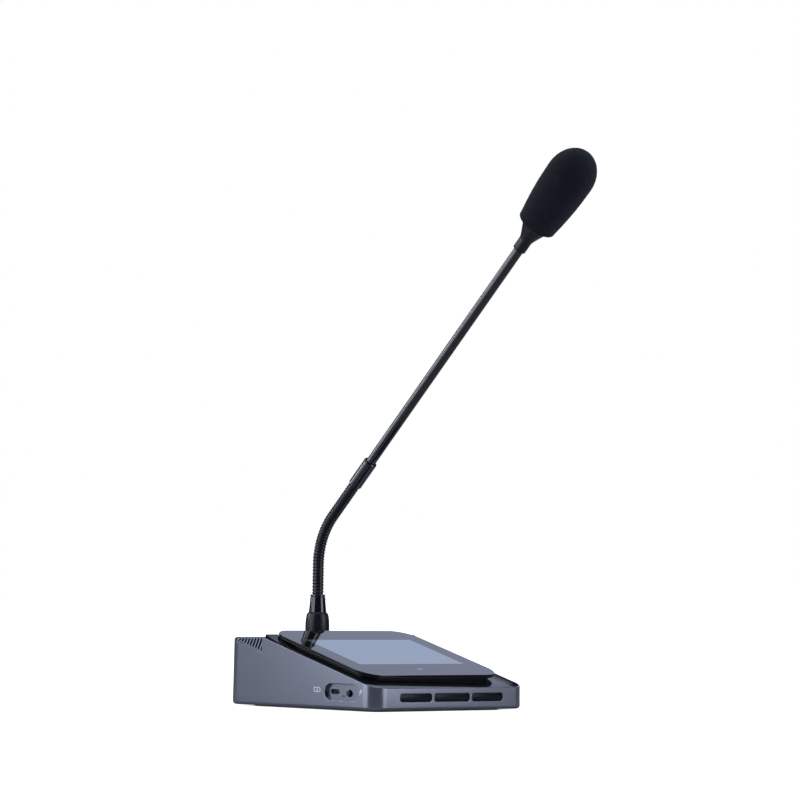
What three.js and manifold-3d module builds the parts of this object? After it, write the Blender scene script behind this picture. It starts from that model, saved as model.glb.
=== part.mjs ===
// A desk microphone for conference tables and service counters.
// A wedge shaped housing carries a floating touch screen, three push keys and two speakers.
// A bendable ribbed neck behind the screen holds a straight stem with a foam covered capsule.
// Lengths are millimetres and +Z is up. The user sits on the -Y side, and +X is to the right.
// The origin lies on the desk, under the middle of the housing.

import * as THREE from 'three';
import { mergeVertices } from 'three/addons/utils/BufferGeometryUtils.js';
import Module from 'manifold-3d';

const wasm = await Module();
wasm.setup();

// Clearances and cutting allowances
const SEAT_GAP = 0.3;
const OVERRUN = 2;

// Housing
const BASE_WIDTH = 163;
const BASE_DEPTH = 166;
const FRONT_HEIGHT = 17.7;
const RAMP_RUN = 39.7;
const DECK_RISE = 36;
const STEP_HEIGHT = 12;
const CORNER_RADIUS = 13;
const SIDE_DRAFT = 0.5;
const FOOT_FILLET = 2;
const WALL = 2.4;
const SKIN = 2;
const RIM = 1.6;
const DECK_PLATE_THICKNESS = 2;
const REAR_RECESS_RADIUS = 2;

// Underside
const PAD_THICKNESS = 0.8;
const PAD_MARGIN = 14.5;
const PAD_RADIUS = 5;
const BASE_PLATE_THICKNESS = 2;
const SCREW_MARGIN = 10.5;
const SCREW_HEAD_RADIUS = 2.8;
const SCREW_HEAD_THICKNESS = 1.4;
const SCREW_SHANK_RADIUS = 1.4;
const SCREW_SHANK_LENGTH = 8;
const SCREW_SLOT_WIDTH = 0.8;
const SCREW_SLOT_DEPTH = 0.6;
const BOSS_RADIUS = 4;

// Screen module, measured along the deck from the front edge
const GLASS_SIDE_MARGIN = 9.3;
const GLASS_REAR_OVERHANG = 2.07;
const GLASS_THICKNESS = 1.1;
const GLASS_FRONT = 18;
const GLASS_RADIUS = 18;
const TRAY_SIDE_INSET = 4;
const TRAY_REAR_INSET = 8;
const TRAY_FLOOR = 1.2;
const BEZEL_LIFT = 1.7;
const BEZEL_THICKNESS = 1.3;
const DISPLAY_SIDE_BORDER = 16.85;
const DISPLAY_FRONT_BORDER = 28.5;
const DISPLAY_REAR_BORDER = 24.6;
const PANEL_MARGIN = 4;
const PANEL_THICKNESS = 2.4;
const PANEL_RADIUS = 2;
const RIBBON_WIDTH = 18;
const RIBBON_THICKNESS = 0.5;
const RIBBON_SLOT_LENGTH = 5;

// Speaker grilles on the ramp behind the step
const GRILLE_INNER = 14;
const GRILLE_THICKNESS = 1.6;
const GRILLE_BORDER = 2.6;
const GRILLE_CORNER_RADIUS = 4.5;
const RIB_PITCH = 3.2;
const SLOT_WIDTH = 1.3;
const SHORTEST_SLOT = 8;
const SPEAKER_RADIUS = 15;
const SPEAKER_MOUTH_RADIUS = 12.5;
const SPEAKER_FLANGE = 1.6;
const SPEAKER_DEPTH = 13;
const BASKET_RADIUS = 9.5;
const BASKET_WALL = 1;
const MAGNET_RADIUS = 10.5;
const MAGNET_THICKNESS = 5;
const CONE_DEPTH = 4;
const CONE_THICKNESS = 0.6;
const CONE_HUB_RADIUS = 4;

// Front keys
const KEY_ROW_DROP = 7;
const KEY_ROW_MARGIN = 26.8;
const KEY_SLOT_HEIGHT = 6.2;
const KEY_MIDDLE_LENGTH = 37.4;
const KEY_POST = 2.8;
const KEY_SLOT_RADIUS = 2.2;
const KEY_SINK = 0.7;
const KEY_EAR = 0.9;
const KEY_EAR_THICKNESS = 1;
const KEY_BOSS_WIDTH = 5;
const KEY_BOSS_HEIGHT = 3;
const KEY_BOSS_LENGTH = 1.6;
const KEY_TRAVEL = 0.8;
const STEM_RADIUS = 1.6;
const STEM_LENGTH = 2.2;
const STEM_REACH = 1.2;
const SWITCH_SIZE = 6;
const SWITCH_DEPTH = 3.6;
const BOARD_THICKNESS = 1.6;
const KEY_BOARD_OVERHANG = 1.3;
const KEY_BOARD_MARGIN = 0.9;
const KEY_BOARD_LIFT = 2;
const BRACE_INSET = 16;
const BRACE_WIDTH = 5;
const BRACE_DEPTH = 3;
const BRACE_DROP = 2.6;

// Ports on the left wall, measured back from the front and down from the deck
const PORT_SETBACK = 36.4;
const PORT_DROP = 14.18;
const PORT_LENGTH = 35.5;
const PORT_HEIGHT = 12.6;
const PORT_DEPTH = 3;
const PORT_FLANGE = 1.4;
const PORT_PANEL_THICKNESS = 1.6;
const USB_SETBACK = 45.8;
const USB_WIDTH = 8.94;
const USB_HEIGHT = 3.26;
const USB_LENGTH = 7.4;
const USB_WALL = 0.35;
const TONGUE_WIDTH = 6.7;
const TONGUE_THICKNESS = 0.7;
const TONGUE_SETBACK = 1.2;
const TONGUE_BLOCK = 2.2;
const JACK_SETBACK = 29.7;
const JACK_RADIUS = 2.5;
const JACK_BORE_RADIUS = 1.8;
const JACK_BODY_WIDTH = 6;
const JACK_BODY_LENGTH = 12;
const PINHOLE_SETBACK = 36.4;
const PINHOLE_DROP = 2.7;
const PINHOLE_RADIUS = 0.7;
const MAIN_BOARD_SETBACK = 21;
const MAIN_BOARD_DEPTH = 92;
const MAIN_BOARD_SIDE_MARGIN = 36.5;
const STANDOFF_RADIUS = 2.6;
const STANDOFF_MARGIN = 5;
const STANDOFF_CLEARANCE = 8.33;
const BATTERY_SIDE_MARGIN = 39.5;
const BATTERY_CLEARANCE = 1.4;
const BATTERY_THICKNESS = 9.5;
const BATTERY_RADIUS = 3;

// Neck socket on the ramp
const NECK_BEHIND_STEP = 24.9;
const BOSS_PLATE_RADIUS = 12;
const BOSS_PLATE_DROP = 0.6;
const SHANK_RADIUS = 6;
const WIRE_BORE_RADIUS = 2.6;
const NUT_RADIUS = 9.5;
const NUT_THICKNESS = 5;
const BULB_RADIUS = 9.5;
const BULB_SHOULDER_RADIUS = 8.2;
const BULB_RISE = 23.5;
const BULB_SWELL = 9;
const FERRULE_LOW_RADIUS = 6.95;
const FERRULE_TOP_RADIUS = 5.8;
const FERRULE_LENGTH = 13.6;
const FERRULE_RIM = 1.4;
const FERRULE_GROOVE = 0.5;

// Bendable neck
const NECK_RADIUS = 4.5;
const NECK_VALLEY_RADIUS = 4;
const NECK_BORE_RADIUS = 2.4;
const NECK_RIB_PITCH = 2.55;
const NECK_UPRIGHT = 23.7;
const NECK_BEND_RADIUS = 53;
const NECK_REACH = 34.6;
const NECK_LOWER_LENGTH = 14.6;
const STEM_LEAN = 45;

// Stem and head
const SLEEVE_RADIUS = 5.35;
const SLEEVE_LENGTH = 25.2;
const SLEEVE_BEVEL = 0.7;
const TUBE_RADIUS = 3.8;
const TUBE_WALL = 0.6;
const TUBE_VISIBLE = 221.3;
const TUBE_LOWER_SEAT = 12;
const TUBE_UPPER_SEAT = 6;
const HOLDER_RADIUS = 5.1;
const HOLDER_STRAIGHT = 9.5;
const HOLDER_LENGTH = 24.5;
const HOLDER_FLARE_RADIUS = 10.8;
const HOLDER_LIP = 1.2;
const CAPSULE_RADIUS = 6;
const CAPSULE_LENGTH = 34;
const CAPSULE_DOME = 3;
const FOAM_LOW_RADIUS = 15;
const FOAM_RADIUS = 18.75;
const FOAM_SIDE_LENGTH = 47.3;
const FOAM_DOME = 23.4;
const FOAM_EDGE_RADIUS = 2.6;

// How finely round shapes are cut
const CORNER_STEPS = 5;
const ROUND_SIDES = 20;
const SMALL_SIDES = 12;
const NUT_SIDES = 6;
const ARC_STEPS = 6;
const HOSE_SIDES = 8;
const RIBS_PER_BORE_RING = 5;

// Places worked out from the sizes above
const FRONT_Y = -BASE_DEPTH / 2;
const REAR_Y = BASE_DEPTH / 2;
const DECK_RUN = BASE_DEPTH - RAMP_RUN;
const STEP_Y = FRONT_Y + DECK_RUN;
const DECK_ANGLE = Math.atan2(DECK_RISE, DECK_RUN);
const DECK_LENGTH = Math.hypot(DECK_RUN, DECK_RISE);
const CREST_HEIGHT = FRONT_HEIGHT + DECK_RISE;
const RAMP_LOW = CREST_HEIGHT - STEP_HEIGHT;
const RAMP_LENGTH = (REAR_Y - STEP_Y) / Math.cos(DECK_ANGLE);
const DECK_RECESS = DECK_PLATE_THICKNESS + SEAT_GAP;
const GRILLE_RECESS = GRILLE_THICKNESS + SEAT_GAP;
const SHELL_BOTTOM = PAD_THICKNESS + SEAT_GAP;
const BASE_PLATE_TOP = SHELL_BOTTOM + BASE_PLATE_THICKNESS;
const TOP_LEVEL = CREST_HEIGHT + STEP_HEIGHT;
const HALF_WIDTH = BASE_WIDTH / 2;
const NECK_Y = STEP_Y + NECK_BEHIND_STEP;
const LEAN_ANGLE = THREE.MathUtils.degToRad(STEM_LEAN);
const GLASS_WIDTH = BASE_WIDTH - 2 * GLASS_SIDE_MARGIN;
const GLASS_LENGTH = DECK_LENGTH + GLASS_REAR_OVERHANG - GLASS_FRONT;
const DISPLAY_WIDTH = GLASS_WIDTH - 2 * DISPLAY_SIDE_BORDER;
const DISPLAY_LENGTH = GLASS_LENGTH - DISPLAY_FRONT_BORDER - DISPLAY_REAR_BORDER;

const deckHeight = (y) => FRONT_HEIGHT + (y - FRONT_Y) * Math.tan(DECK_ANGLE);
const rampHeight = (y) => RAMP_LOW + (y - STEP_Y) * Math.tan(DECK_ANGLE);

const KEY_ROW_HEIGHT = FRONT_HEIGHT - KEY_ROW_DROP;
const BULB_TOP = rampHeight(NECK_Y) + BULB_RISE;
const PORT_Y = FRONT_Y + PORT_SETBACK;
const PORT_ROW_HEIGHT = deckHeight(PORT_Y) - PORT_DROP;
const USB_Y = FRONT_Y + USB_SETBACK;
const JACK_Y = FRONT_Y + JACK_SETBACK;
const PINHOLE_Y = FRONT_Y + PINHOLE_SETBACK;
const BOARD_BOTTOM = PORT_ROW_HEIGHT + USB_HEIGHT / 2 + SEAT_GAP + SEAT_GAP;

// Solids and cuts
function solidOf(geometry) {
  const bare = geometry.clone();
  bare.deleteAttribute('normal');
  bare.deleteAttribute('uv');
  const merged = mergeVertices(bare);
  return new wasm.Manifold(new wasm.Mesh({
    numProp: 3,
    vertProperties: new Float32Array(merged.attributes.position.array),
    triVerts: new Uint32Array(merged.index.array),
  }));
}

function geometryOf(solid) {
  const mesh = solid.getMesh();
  const geometry = new THREE.BufferGeometry();
  geometry.setAttribute('position', new THREE.BufferAttribute(new Float32Array(mesh.vertProperties), 3));
  geometry.setIndex(new THREE.BufferAttribute(new Uint32Array(mesh.triVerts), 1));
  geometry.computeVertexNormals();
  return geometry;
}

function cutFrom(body, ...tools) {
  return tools.reduce((left, tool) => left.subtract(tool), body);
}

function joined(...solids) {
  return solids.reduce((whole, piece) => whole.add(piece));
}

// Outlines and plain shapes
function roundedOutline(left, right, front, back, frontRadius, backRadius) {
  const shape = new THREE.Shape();
  shape.moveTo(left + frontRadius, front);
  shape.lineTo(right - frontRadius, front);
  shape.absarc(right - frontRadius, front + frontRadius, frontRadius, -Math.PI / 2, 0, false);
  shape.lineTo(right, back - backRadius);
  shape.absarc(right - backRadius, back - backRadius, backRadius, 0, Math.PI / 2, false);
  shape.lineTo(left + backRadius, back);
  shape.absarc(left + backRadius, back - backRadius, backRadius, Math.PI / 2, Math.PI, false);
  shape.lineTo(left, front + frontRadius);
  shape.absarc(left + frontRadius, front + frontRadius, frontRadius, Math.PI, Math.PI * 1.5, false);
  return shape;
}

function slab(shape, low, high) {
  const geometry = new THREE.ExtrudeGeometry(shape, {
    depth: high - low, bevelEnabled: false, curveSegments: CORNER_STEPS,
  });
  return geometry.translate(0, 0, low);
}

function box(left, right, front, back, low, high) {
  const geometry = new THREE.BoxGeometry(right - left, back - front, high - low);
  return geometry.translate((left + right) / 2, (front + back) / 2, (low + high) / 2);
}

function upright(radius, low, high, x = 0, y = 0, sides = ROUND_SIDES) {
  const geometry = new THREE.CylinderGeometry(radius, radius, high - low, sides);
  return geometry.rotateX(Math.PI / 2).translate(x, y, (low + high) / 2);
}

function turned(profile, sides = ROUND_SIDES) {
  const points = profile.map(([radius, height]) => new THREE.Vector2(radius, height));
  return new THREE.LatheGeometry(points, sides).rotateX(Math.PI / 2);
}

// A quarter arc of profile points, from one angle to another
function arcPoints(centreRadius, centreHeight, radius, from, to, stretch = 1) {
  return Array.from({ length: ARC_STEPS + 1 }, (_, step) => {
    const angle = from + (to - from) * step / ARC_STEPS;
    return [centreRadius + radius * Math.cos(angle), centreHeight + stretch * radius * Math.sin(angle)];
  });
}

// Frames that pieces are drawn in
function onDeck(geometry) {
  return geometry.rotateX(DECK_ANGLE).translate(0, FRONT_Y, FRONT_HEIGHT);
}

function onRamp(geometry) {
  return geometry.rotateX(DECK_ANGLE).translate(0, STEP_Y, RAMP_LOW);
}

// Drawn as width and height, and pulled out towards the front from a starting depth
function towardsFront(shape, nearY, farY) {
  return slab(shape, -farY, -nearY).rotateX(Math.PI / 2);
}

// Drawn as distance forward and height, and pulled out to the left from a starting depth
function towardsLeft(shape, innerX, outerX) {
  const basis = new THREE.Matrix4().makeBasis(
    new THREE.Vector3(0, -1, 0), new THREE.Vector3(0, 0, 1), new THREE.Vector3(-1, 0, 0));
  return slab(shape, -innerX, -outerX).applyMatrix4(basis);
}

// Drawn as depth and height, and pulled out across the whole width
function acrossWidth(shape) {
  const reach = HALF_WIDTH + OVERRUN;
  const basis = new THREE.Matrix4().makeBasis(
    new THREE.Vector3(0, 1, 0), new THREE.Vector3(0, 0, 1), new THREE.Vector3(1, 0, 0));
  return slab(shape, -reach, reach).applyMatrix4(basis);
}

// A block with rounded corners whose outline shrinks from level to level
function stackedBlock(width, depth, radius, levels) {
  const positions = [];
  const indices = [];
  for (const { height, inset } of levels) {
    const corner = radius - inset;
    const reachX = width / 2 - inset - corner;
    const reachY = depth / 2 - inset - corner;
    for (let quarter = 0; quarter < 4; quarter += 1) {
      const middle = Math.PI / 4 + quarter * Math.PI / 2;
      const centreX = Math.sign(Math.cos(middle)) * reachX;
      const centreY = Math.sign(Math.sin(middle)) * reachY;
      for (let step = 0; step <= CORNER_STEPS; step += 1) {
        const angle = (quarter + step / CORNER_STEPS) * Math.PI / 2;
        positions.push(centreX + corner * Math.cos(angle), centreY + corner * Math.sin(angle), height);
      }
    }
  }
  const around = 4 * (CORNER_STEPS + 1);
  for (let level = 0; level + 1 < levels.length; level += 1) {
    for (let place = 0; place < around; place += 1) {
      const low = level * around + place;
      const next = level * around + (place + 1) % around;
      indices.push(low, next, next + around, low, next + around, low + around);
    }
  }
  const top = (levels.length - 1) * around;
  for (let place = 1; place + 1 < around; place += 1) {
    indices.push(0, place + 1, place);
    indices.push(top, top + place, top + place + 1);
  }
  const geometry = new THREE.BufferGeometry();
  geometry.setAttribute('position', new THREE.Float32BufferAttribute(positions, 3));
  geometry.setIndex(indices);
  return geometry;
}

// The side view of the housing, with its top lowered and its step moved forward
function sideProfile(drop, stepInset) {
  const sink = drop / Math.cos(DECK_ANGLE);
  const front = FRONT_Y - OVERRUN;
  const back = REAR_Y + OVERRUN;
  const step = STEP_Y - stepInset;
  const shape = new THREE.Shape();
  shape.moveTo(front, -OVERRUN);
  shape.lineTo(back, -OVERRUN);
  shape.lineTo(back, rampHeight(back) - sink);
  shape.lineTo(step, rampHeight(step) - sink);
  shape.lineTo(step, deckHeight(step) - sink);
  shape.lineTo(front, deckHeight(front) - sink);
  return shape;
}

// Materials
const finishes = {
  slate: { color: 0x6b7080, roughness: 0.45, metalness: 0.6 },
  gloss: { color: 0x0b0c10, roughness: 0.12, metalness: 0 },
  black: { color: 0x15171c, roughness: 0.5, metalness: 0 },
  glass: { color: 0x2a2f3a, roughness: 0.05, metalness: 0 },
  display: { color: 0x9fb0c8, roughness: 0.3, metalness: 0 },
  rubber: { color: 0x1b1c1f, roughness: 0.9, metalness: 0 },
  steel: { color: 0x9a9da3, roughness: 0.4, metalness: 1 },
  board: { color: 0x1f5a38, roughness: 0.6, metalness: 0 },
  cone: { color: 0x2c2c2e, roughness: 0.9, metalness: 0 },
  brass: { color: 0xb08d4a, roughness: 0.35, metalness: 1 },
  neck: { color: 0x14161d, roughness: 0.35, metalness: 0.4 },
  foam: { color: 0x11151f, roughness: 1, metalness: 0 },
  battery: { color: 0x2f5f9a, roughness: 0.5, metalness: 0 },
  ribbon: { color: 0xb5742a, roughness: 0.5, metalness: 0 },
};

const part = new THREE.Group();

const deckFrame = new THREE.Group();
deckFrame.position.set(0, FRONT_Y, FRONT_HEIGHT);
deckFrame.rotation.x = DECK_ANGLE;
part.add(deckFrame);

const rampFrame = new THREE.Group();
rampFrame.position.set(0, STEP_Y, RAMP_LOW);
rampFrame.rotation.x = DECK_ANGLE;
part.add(rampFrame);

function place(name, shape, finish, frame = part) {
  const geometry = shape instanceof THREE.BufferGeometry ? shape : geometryOf(shape);
  const mesh = new THREE.Mesh(geometry, new THREE.MeshStandardMaterial(finishes[finish]));
  mesh.name = name;
  frame.add(mesh);
  return mesh;
}

// Key row, from left to right
const keyRowEnd = HALF_WIDTH - KEY_ROW_MARGIN;
const keyMiddleEnd = KEY_MIDDLE_LENGTH / 2;
const keySpans = [
  ['left', -keyRowEnd, -keyMiddleEnd - KEY_POST],
  ['middle', -keyMiddleEnd, keyMiddleEnd],
  ['right', keyMiddleEnd + KEY_POST, keyRowEnd],
];
const keyLow = KEY_ROW_HEIGHT - KEY_SLOT_HEIGHT / 2;
const keyHigh = KEY_ROW_HEIGHT + KEY_SLOT_HEIGHT / 2;

// Screen tray and display outlines, in the deck frame
const glassLeft = -GLASS_WIDTH / 2;
const glassBack = GLASS_FRONT + GLASS_LENGTH;
const trayFront = GLASS_FRONT + TRAY_SIDE_INSET;
const trayBack = glassBack - TRAY_REAR_INSET;
const trayRight = GLASS_WIDTH / 2 - TRAY_SIDE_INSET;
const trayRadius = GLASS_RADIUS - TRAY_SIDE_INSET;
const displayFront = GLASS_FRONT + DISPLAY_FRONT_BORDER;
const displayBack = displayFront + DISPLAY_LENGTH;
const glassLow = BEZEL_LIFT + BEZEL_THICKNESS + SEAT_GAP;
const trayLow = -DECK_PLATE_THICKNESS;
const trayFloorTop = trayLow + TRAY_FLOOR;
const panelLow = glassLow - SEAT_GAP - PANEL_THICKNESS;
const ribbonFront = (displayFront + displayBack) / 2;

function trayOutline(spread) {
  return roundedOutline(-trayRight - spread, trayRight + spread, trayFront - spread, trayBack + spread,
    trayRadius + spread, trayRadius + spread);
}

function ribbonSlot(low, high) {
  return box(-RIBBON_WIDTH / 2 - SEAT_GAP, RIBBON_WIDTH / 2 + SEAT_GAP,
    ribbonFront - RIBBON_SLOT_LENGTH / 2, ribbonFront + RIBBON_SLOT_LENGTH / 2, low, high);
}

// Grille panels, in the ramp frame
const grilleOuter = HALF_WIDTH - RIM;
const grilleFront = RIM;
const grilleBack = RAMP_LENGTH - RIM;

function grilleOutline(side, inset) {
  const outer = grilleOuter - inset;
  const inner = GRILLE_INNER + inset;
  const front = grilleFront + inset;
  const back = grilleBack - inset;
  const small = GRILLE_CORNER_RADIUS - inset;
  const large = CORNER_RADIUS - RIM - inset;
  const shape = new THREE.Shape();
  shape.moveTo(inner + small, front);
  shape.lineTo(outer - small, front);
  shape.absarc(outer - small, front + small, small, -Math.PI / 2, 0, false);
  shape.lineTo(outer, back - large);
  shape.absarc(outer - large, back - large, large, 0, Math.PI / 2, false);
  shape.lineTo(inner + small, back);
  shape.absarc(inner + small, back - small, small, Math.PI / 2, Math.PI, false);
  shape.lineTo(inner, front + small);
  shape.absarc(inner + small, front + small, small, Math.PI, Math.PI * 1.5, false);
  const points = shape.getPoints(CORNER_STEPS).map((point) => new THREE.Vector2(side * point.x, point.y));
  return new THREE.Shape(points);
}

const speakerX = (grilleOuter + GRILLE_INNER) / 2;
const speakerY = (grilleFront + grilleBack) / 2;

// Screws and their bosses
const screwX = HALF_WIDTH - SCREW_MARGIN;
const screwY = BASE_DEPTH / 2 - SCREW_MARGIN;
const screwPlaces = [
  ['front_left', -screwX, -screwY],
  ['front_right', screwX, -screwY],
  ['rear_left', -screwX, screwY],
  ['rear_right', screwX, screwY],
];

// Port recess, drawn as distance forward and height
const portPanelOuter = -HALF_WIDTH + PORT_DEPTH;
const portPanelInner = portPanelOuter + PORT_PANEL_THICKNESS;

// Main board and the standoffs that carry it, with the battery between them
const boardLeft = portPanelInner + SEAT_GAP;
const boardRight = HALF_WIDTH - MAIN_BOARD_SIDE_MARGIN;
const boardBack = FRONT_Y + MAIN_BOARD_SETBACK + MAIN_BOARD_DEPTH;
const standoffBack = boardBack - STANDOFF_MARGIN;
const standoffFront = USB_Y + USB_WIDTH / 2 + STANDOFF_CLEARANCE + STANDOFF_RADIUS;

function portOutline(spread) {
  const reach = PORT_LENGTH / 2 + spread;
  const tall = PORT_HEIGHT / 2 + spread;
  return roundedOutline(-PORT_Y - reach, -PORT_Y + reach,
    PORT_ROW_HEIGHT - tall, PORT_ROW_HEIGHT + tall, tall, tall);
}

// The neck's boss ends flat, so that the nut seats square
const skinDepth = (DECK_RECESS + SKIN) / Math.cos(DECK_ANGLE);
const bossPlateLow = rampHeight(NECK_Y - BOSS_PLATE_RADIUS) - skinDepth - BOSS_PLATE_DROP;

function bodyShell() {
  const outerLevels = Array.from({ length: ARC_STEPS / 2 + 1 }, (_, step) => {
    const angle = step / (ARC_STEPS / 2) * Math.PI / 2;
    return {
      height: SHELL_BOTTOM + FOOT_FILLET * (1 - Math.cos(angle)),
      inset: FOOT_FILLET * (1 - Math.sin(angle)),
    };
  });
  outerLevels.push({ height: TOP_LEVEL, inset: SIDE_DRAFT });
  const innerLevels = [
    { height: -OVERRUN, inset: WALL },
    { height: SHELL_BOTTOM + FOOT_FILLET, inset: WALL },
    { height: TOP_LEVEL, inset: WALL + SIDE_DRAFT },
  ];
  const outer = solidOf(stackedBlock(BASE_WIDTH, BASE_DEPTH, CORNER_RADIUS, outerLevels))
    .intersect(solidOf(acrossWidth(sideProfile(0, 0))));
  const inside = solidOf(stackedBlock(BASE_WIDTH, BASE_DEPTH, CORNER_RADIUS, innerLevels));
  const cavity = inside.intersect(solidOf(acrossWidth(sideProfile(DECK_RECESS + SKIN, WALL))));
  const bosses = screwPlaces.map(([, x, y]) => solidOf(
    upright(BOSS_RADIUS, BASE_PLATE_TOP + SEAT_GAP, TOP_LEVEL, x, y, SMALL_SIDES)).intersect(outer));
  const boss = solidOf(upright(BOSS_PLATE_RADIUS, bossPlateLow, TOP_LEVEL, 0, NECK_Y)).intersect(outer);
  let shell = joined(outer.subtract(cavity), boss, ...bosses);

  const deckRecess = roundedOutline(-HALF_WIDTH + RIM, HALF_WIDTH - RIM, RIM, DECK_LENGTH - RIM,
    CORNER_RADIUS - RIM, REAR_RECESS_RADIUS);
  const boreTop = SHELL_BOTTOM + SCREW_SHANK_LENGTH + SEAT_GAP;
  const boreOf = (x, y) => solidOf(
    upright(SCREW_SHANK_RADIUS + SEAT_GAP, -OVERRUN, boreTop, x, y, SMALL_SIDES));
  const cuts = [
    solidOf(onDeck(slab(deckRecess, -DECK_RECESS, DECK_RECESS))),
    solidOf(onDeck(ribbonSlot(-DECK_RECESS - 2 * SKIN, DECK_RECESS))),
    solidOf(upright(SHANK_RADIUS + SEAT_GAP, 0, TOP_LEVEL, 0, NECK_Y)),
    solidOf(towardsLeft(portOutline(0), -HALF_WIDTH + WALL + OVERRUN, -HALF_WIDTH - OVERRUN)),
    ...screwPlaces.map(([, x, y]) => boreOf(x, y)),
    ...keySpans.map(([, left, right]) => solidOf(towardsFront(
      roundedOutline(left, right, keyLow, keyHigh, KEY_SLOT_RADIUS, KEY_SLOT_RADIUS),
      FRONT_Y - OVERRUN, FRONT_Y + WALL + OVERRUN))),
  ];
  for (const side of [-1, 1]) {
    cuts.push(solidOf(onRamp(slab(grilleOutline(side, 0), -GRILLE_RECESS, GRILLE_RECESS))));
    cuts.push(solidOf(onRamp(upright(SPEAKER_MOUTH_RADIUS, -STEP_HEIGHT, GRILLE_RECESS,
      side * speakerX, speakerY))));
  }
  shell = cutFrom(shell, ...cuts);
  place('body_shell', shell, 'slate');
}

function deckPlate() {
  const edge = RIM + SEAT_GAP;
  const outline = roundedOutline(-HALF_WIDTH + edge, HALF_WIDTH - edge, edge, DECK_LENGTH - edge,
    CORNER_RADIUS - edge, REAR_RECESS_RADIUS);
  const plate = solidOf(slab(outline, -DECK_PLATE_THICKNESS, 0));
  const opening = solidOf(slab(trayOutline(SEAT_GAP), -DECK_PLATE_THICKNESS - OVERRUN, OVERRUN));
  place('deck_plate', plate.subtract(opening), 'gloss', deckFrame);
}

function screenTray() {
  const glassOutline = roundedOutline(glassLeft, -glassLeft, GLASS_FRONT, glassBack,
    GLASS_RADIUS, GLASS_RADIUS);
  const bezel = solidOf(slab(glassOutline, BEZEL_LIFT, BEZEL_LIFT + BEZEL_THICKNESS));
  const body = solidOf(slab(trayOutline(0), trayLow, BEZEL_LIFT + BEZEL_THICKNESS));
  const reach = DISPLAY_WIDTH / 2 + PANEL_MARGIN + SEAT_GAP;
  const pocket = solidOf(slab(roundedOutline(-reach, reach, displayFront - PANEL_MARGIN - SEAT_GAP,
    displayBack + PANEL_MARGIN + SEAT_GAP, PANEL_RADIUS, PANEL_RADIUS), trayFloorTop, glassLow));
  const slot = solidOf(ribbonSlot(trayLow - OVERRUN, glassLow));
  place('screen_tray', cutFrom(bezel.add(body), pocket, slot), 'black', deckFrame);
  place('touch_glass', slab(glassOutline, glassLow, glassLow + GLASS_THICKNESS), 'glass', deckFrame);
}

function displayPanel() {
  const reach = DISPLAY_WIDTH / 2 + PANEL_MARGIN;
  const outline = roundedOutline(-reach, reach, displayFront - PANEL_MARGIN, displayBack + PANEL_MARGIN,
    PANEL_RADIUS, PANEL_RADIUS);
  place('display_panel', slab(outline, panelLow, panelLow + PANEL_THICKNESS), 'display', deckFrame);

  // The ribbon drops from the panel's back to the main board
  const ribbonY = FRONT_Y + ribbonFront * Math.cos(DECK_ANGLE);
  const ribbonTop = deckHeight(ribbonY) - SEAT_GAP;
  const strip = box(-RIBBON_WIDTH / 2, RIBBON_WIDTH / 2, ribbonY - RIBBON_THICKNESS / 2,
    ribbonY + RIBBON_THICKNESS / 2, BOARD_BOTTOM + BOARD_THICKNESS + SEAT_GAP, ribbonTop);
  place('display_ribbon', strip, 'ribbon');
}

function grillePanel(side, name) {
  const plate = solidOf(slab(grilleOutline(side, SEAT_GAP), -GRILLE_THICKNESS, 0));
  const left = -grilleOuter + GRILLE_BORDER;
  const right = -GRILLE_INNER - GRILLE_BORDER;
  const front = grilleFront + GRILLE_BORDER;
  const back = grilleBack - GRILLE_BORDER;
  const slots = [];
  for (let start = left - (back - front) + RIB_PITCH; start < right; start += RIB_PITCH) {
    const lowX = Math.max(start, left);
    const highX = Math.min(start + back - front, right);
    const length = (highX - lowX) * Math.SQRT2;
    if (length >= SHORTEST_SLOT) {
      const slot = new THREE.BoxGeometry(length, SLOT_WIDTH, 2 * GRILLE_THICKNESS + 2 * OVERRUN);
      const middleX = (lowX + highX) / 2;
      slot.rotateZ(-side * Math.PI / 4);
      slot.translate(-side * middleX, front + middleX - start, 0);
      slots.push(solidOf(slot));
    }
  }
  place(name, cutFrom(plate, ...slots), 'slate', rampFrame);
}

function speaker(side, ending) {
  const top = -DECK_RECESS - SKIN - SEAT_GAP;
  const magnetTop = top - SPEAKER_DEPTH + MAGNET_THICKNESS;
  const seat = top - SPEAKER_FLANGE;
  const well = top - CONE_DEPTH - SEAT_GAP;
  const basket = turned([
    [0, top - SPEAKER_DEPTH],
    [MAGNET_RADIUS, top - SPEAKER_DEPTH],
    [MAGNET_RADIUS, magnetTop],
    [BASKET_RADIUS, magnetTop],
    [SPEAKER_MOUTH_RADIUS + BASKET_WALL, well],
    [SPEAKER_MOUTH_RADIUS + BASKET_WALL, seat],
    [SPEAKER_RADIUS, seat],
    [SPEAKER_RADIUS, top],
    [SPEAKER_MOUTH_RADIUS, top],
    [SPEAKER_MOUTH_RADIUS, well],
    [0, well],
  ]);
  basket.translate(side * speakerX, speakerY, 0);
  place(`speaker_${ending}`, basket, 'steel', rampFrame);
  const rimRadius = SPEAKER_MOUTH_RADIUS - SEAT_GAP;
  const cone = turned([
    [0, top - CONE_DEPTH],
    [CONE_HUB_RADIUS, top - CONE_DEPTH],
    [rimRadius, top - CONE_THICKNESS],
    [rimRadius, top],
    [CONE_HUB_RADIUS, top - CONE_DEPTH + CONE_THICKNESS],
    [0, top - CONE_DEPTH + CONE_THICKNESS],
  ]);
  cone.translate(side * speakerX, speakerY, 0);
  place(`speaker_cone_${ending}`, cone, 'cone', rampFrame);
}

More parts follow.
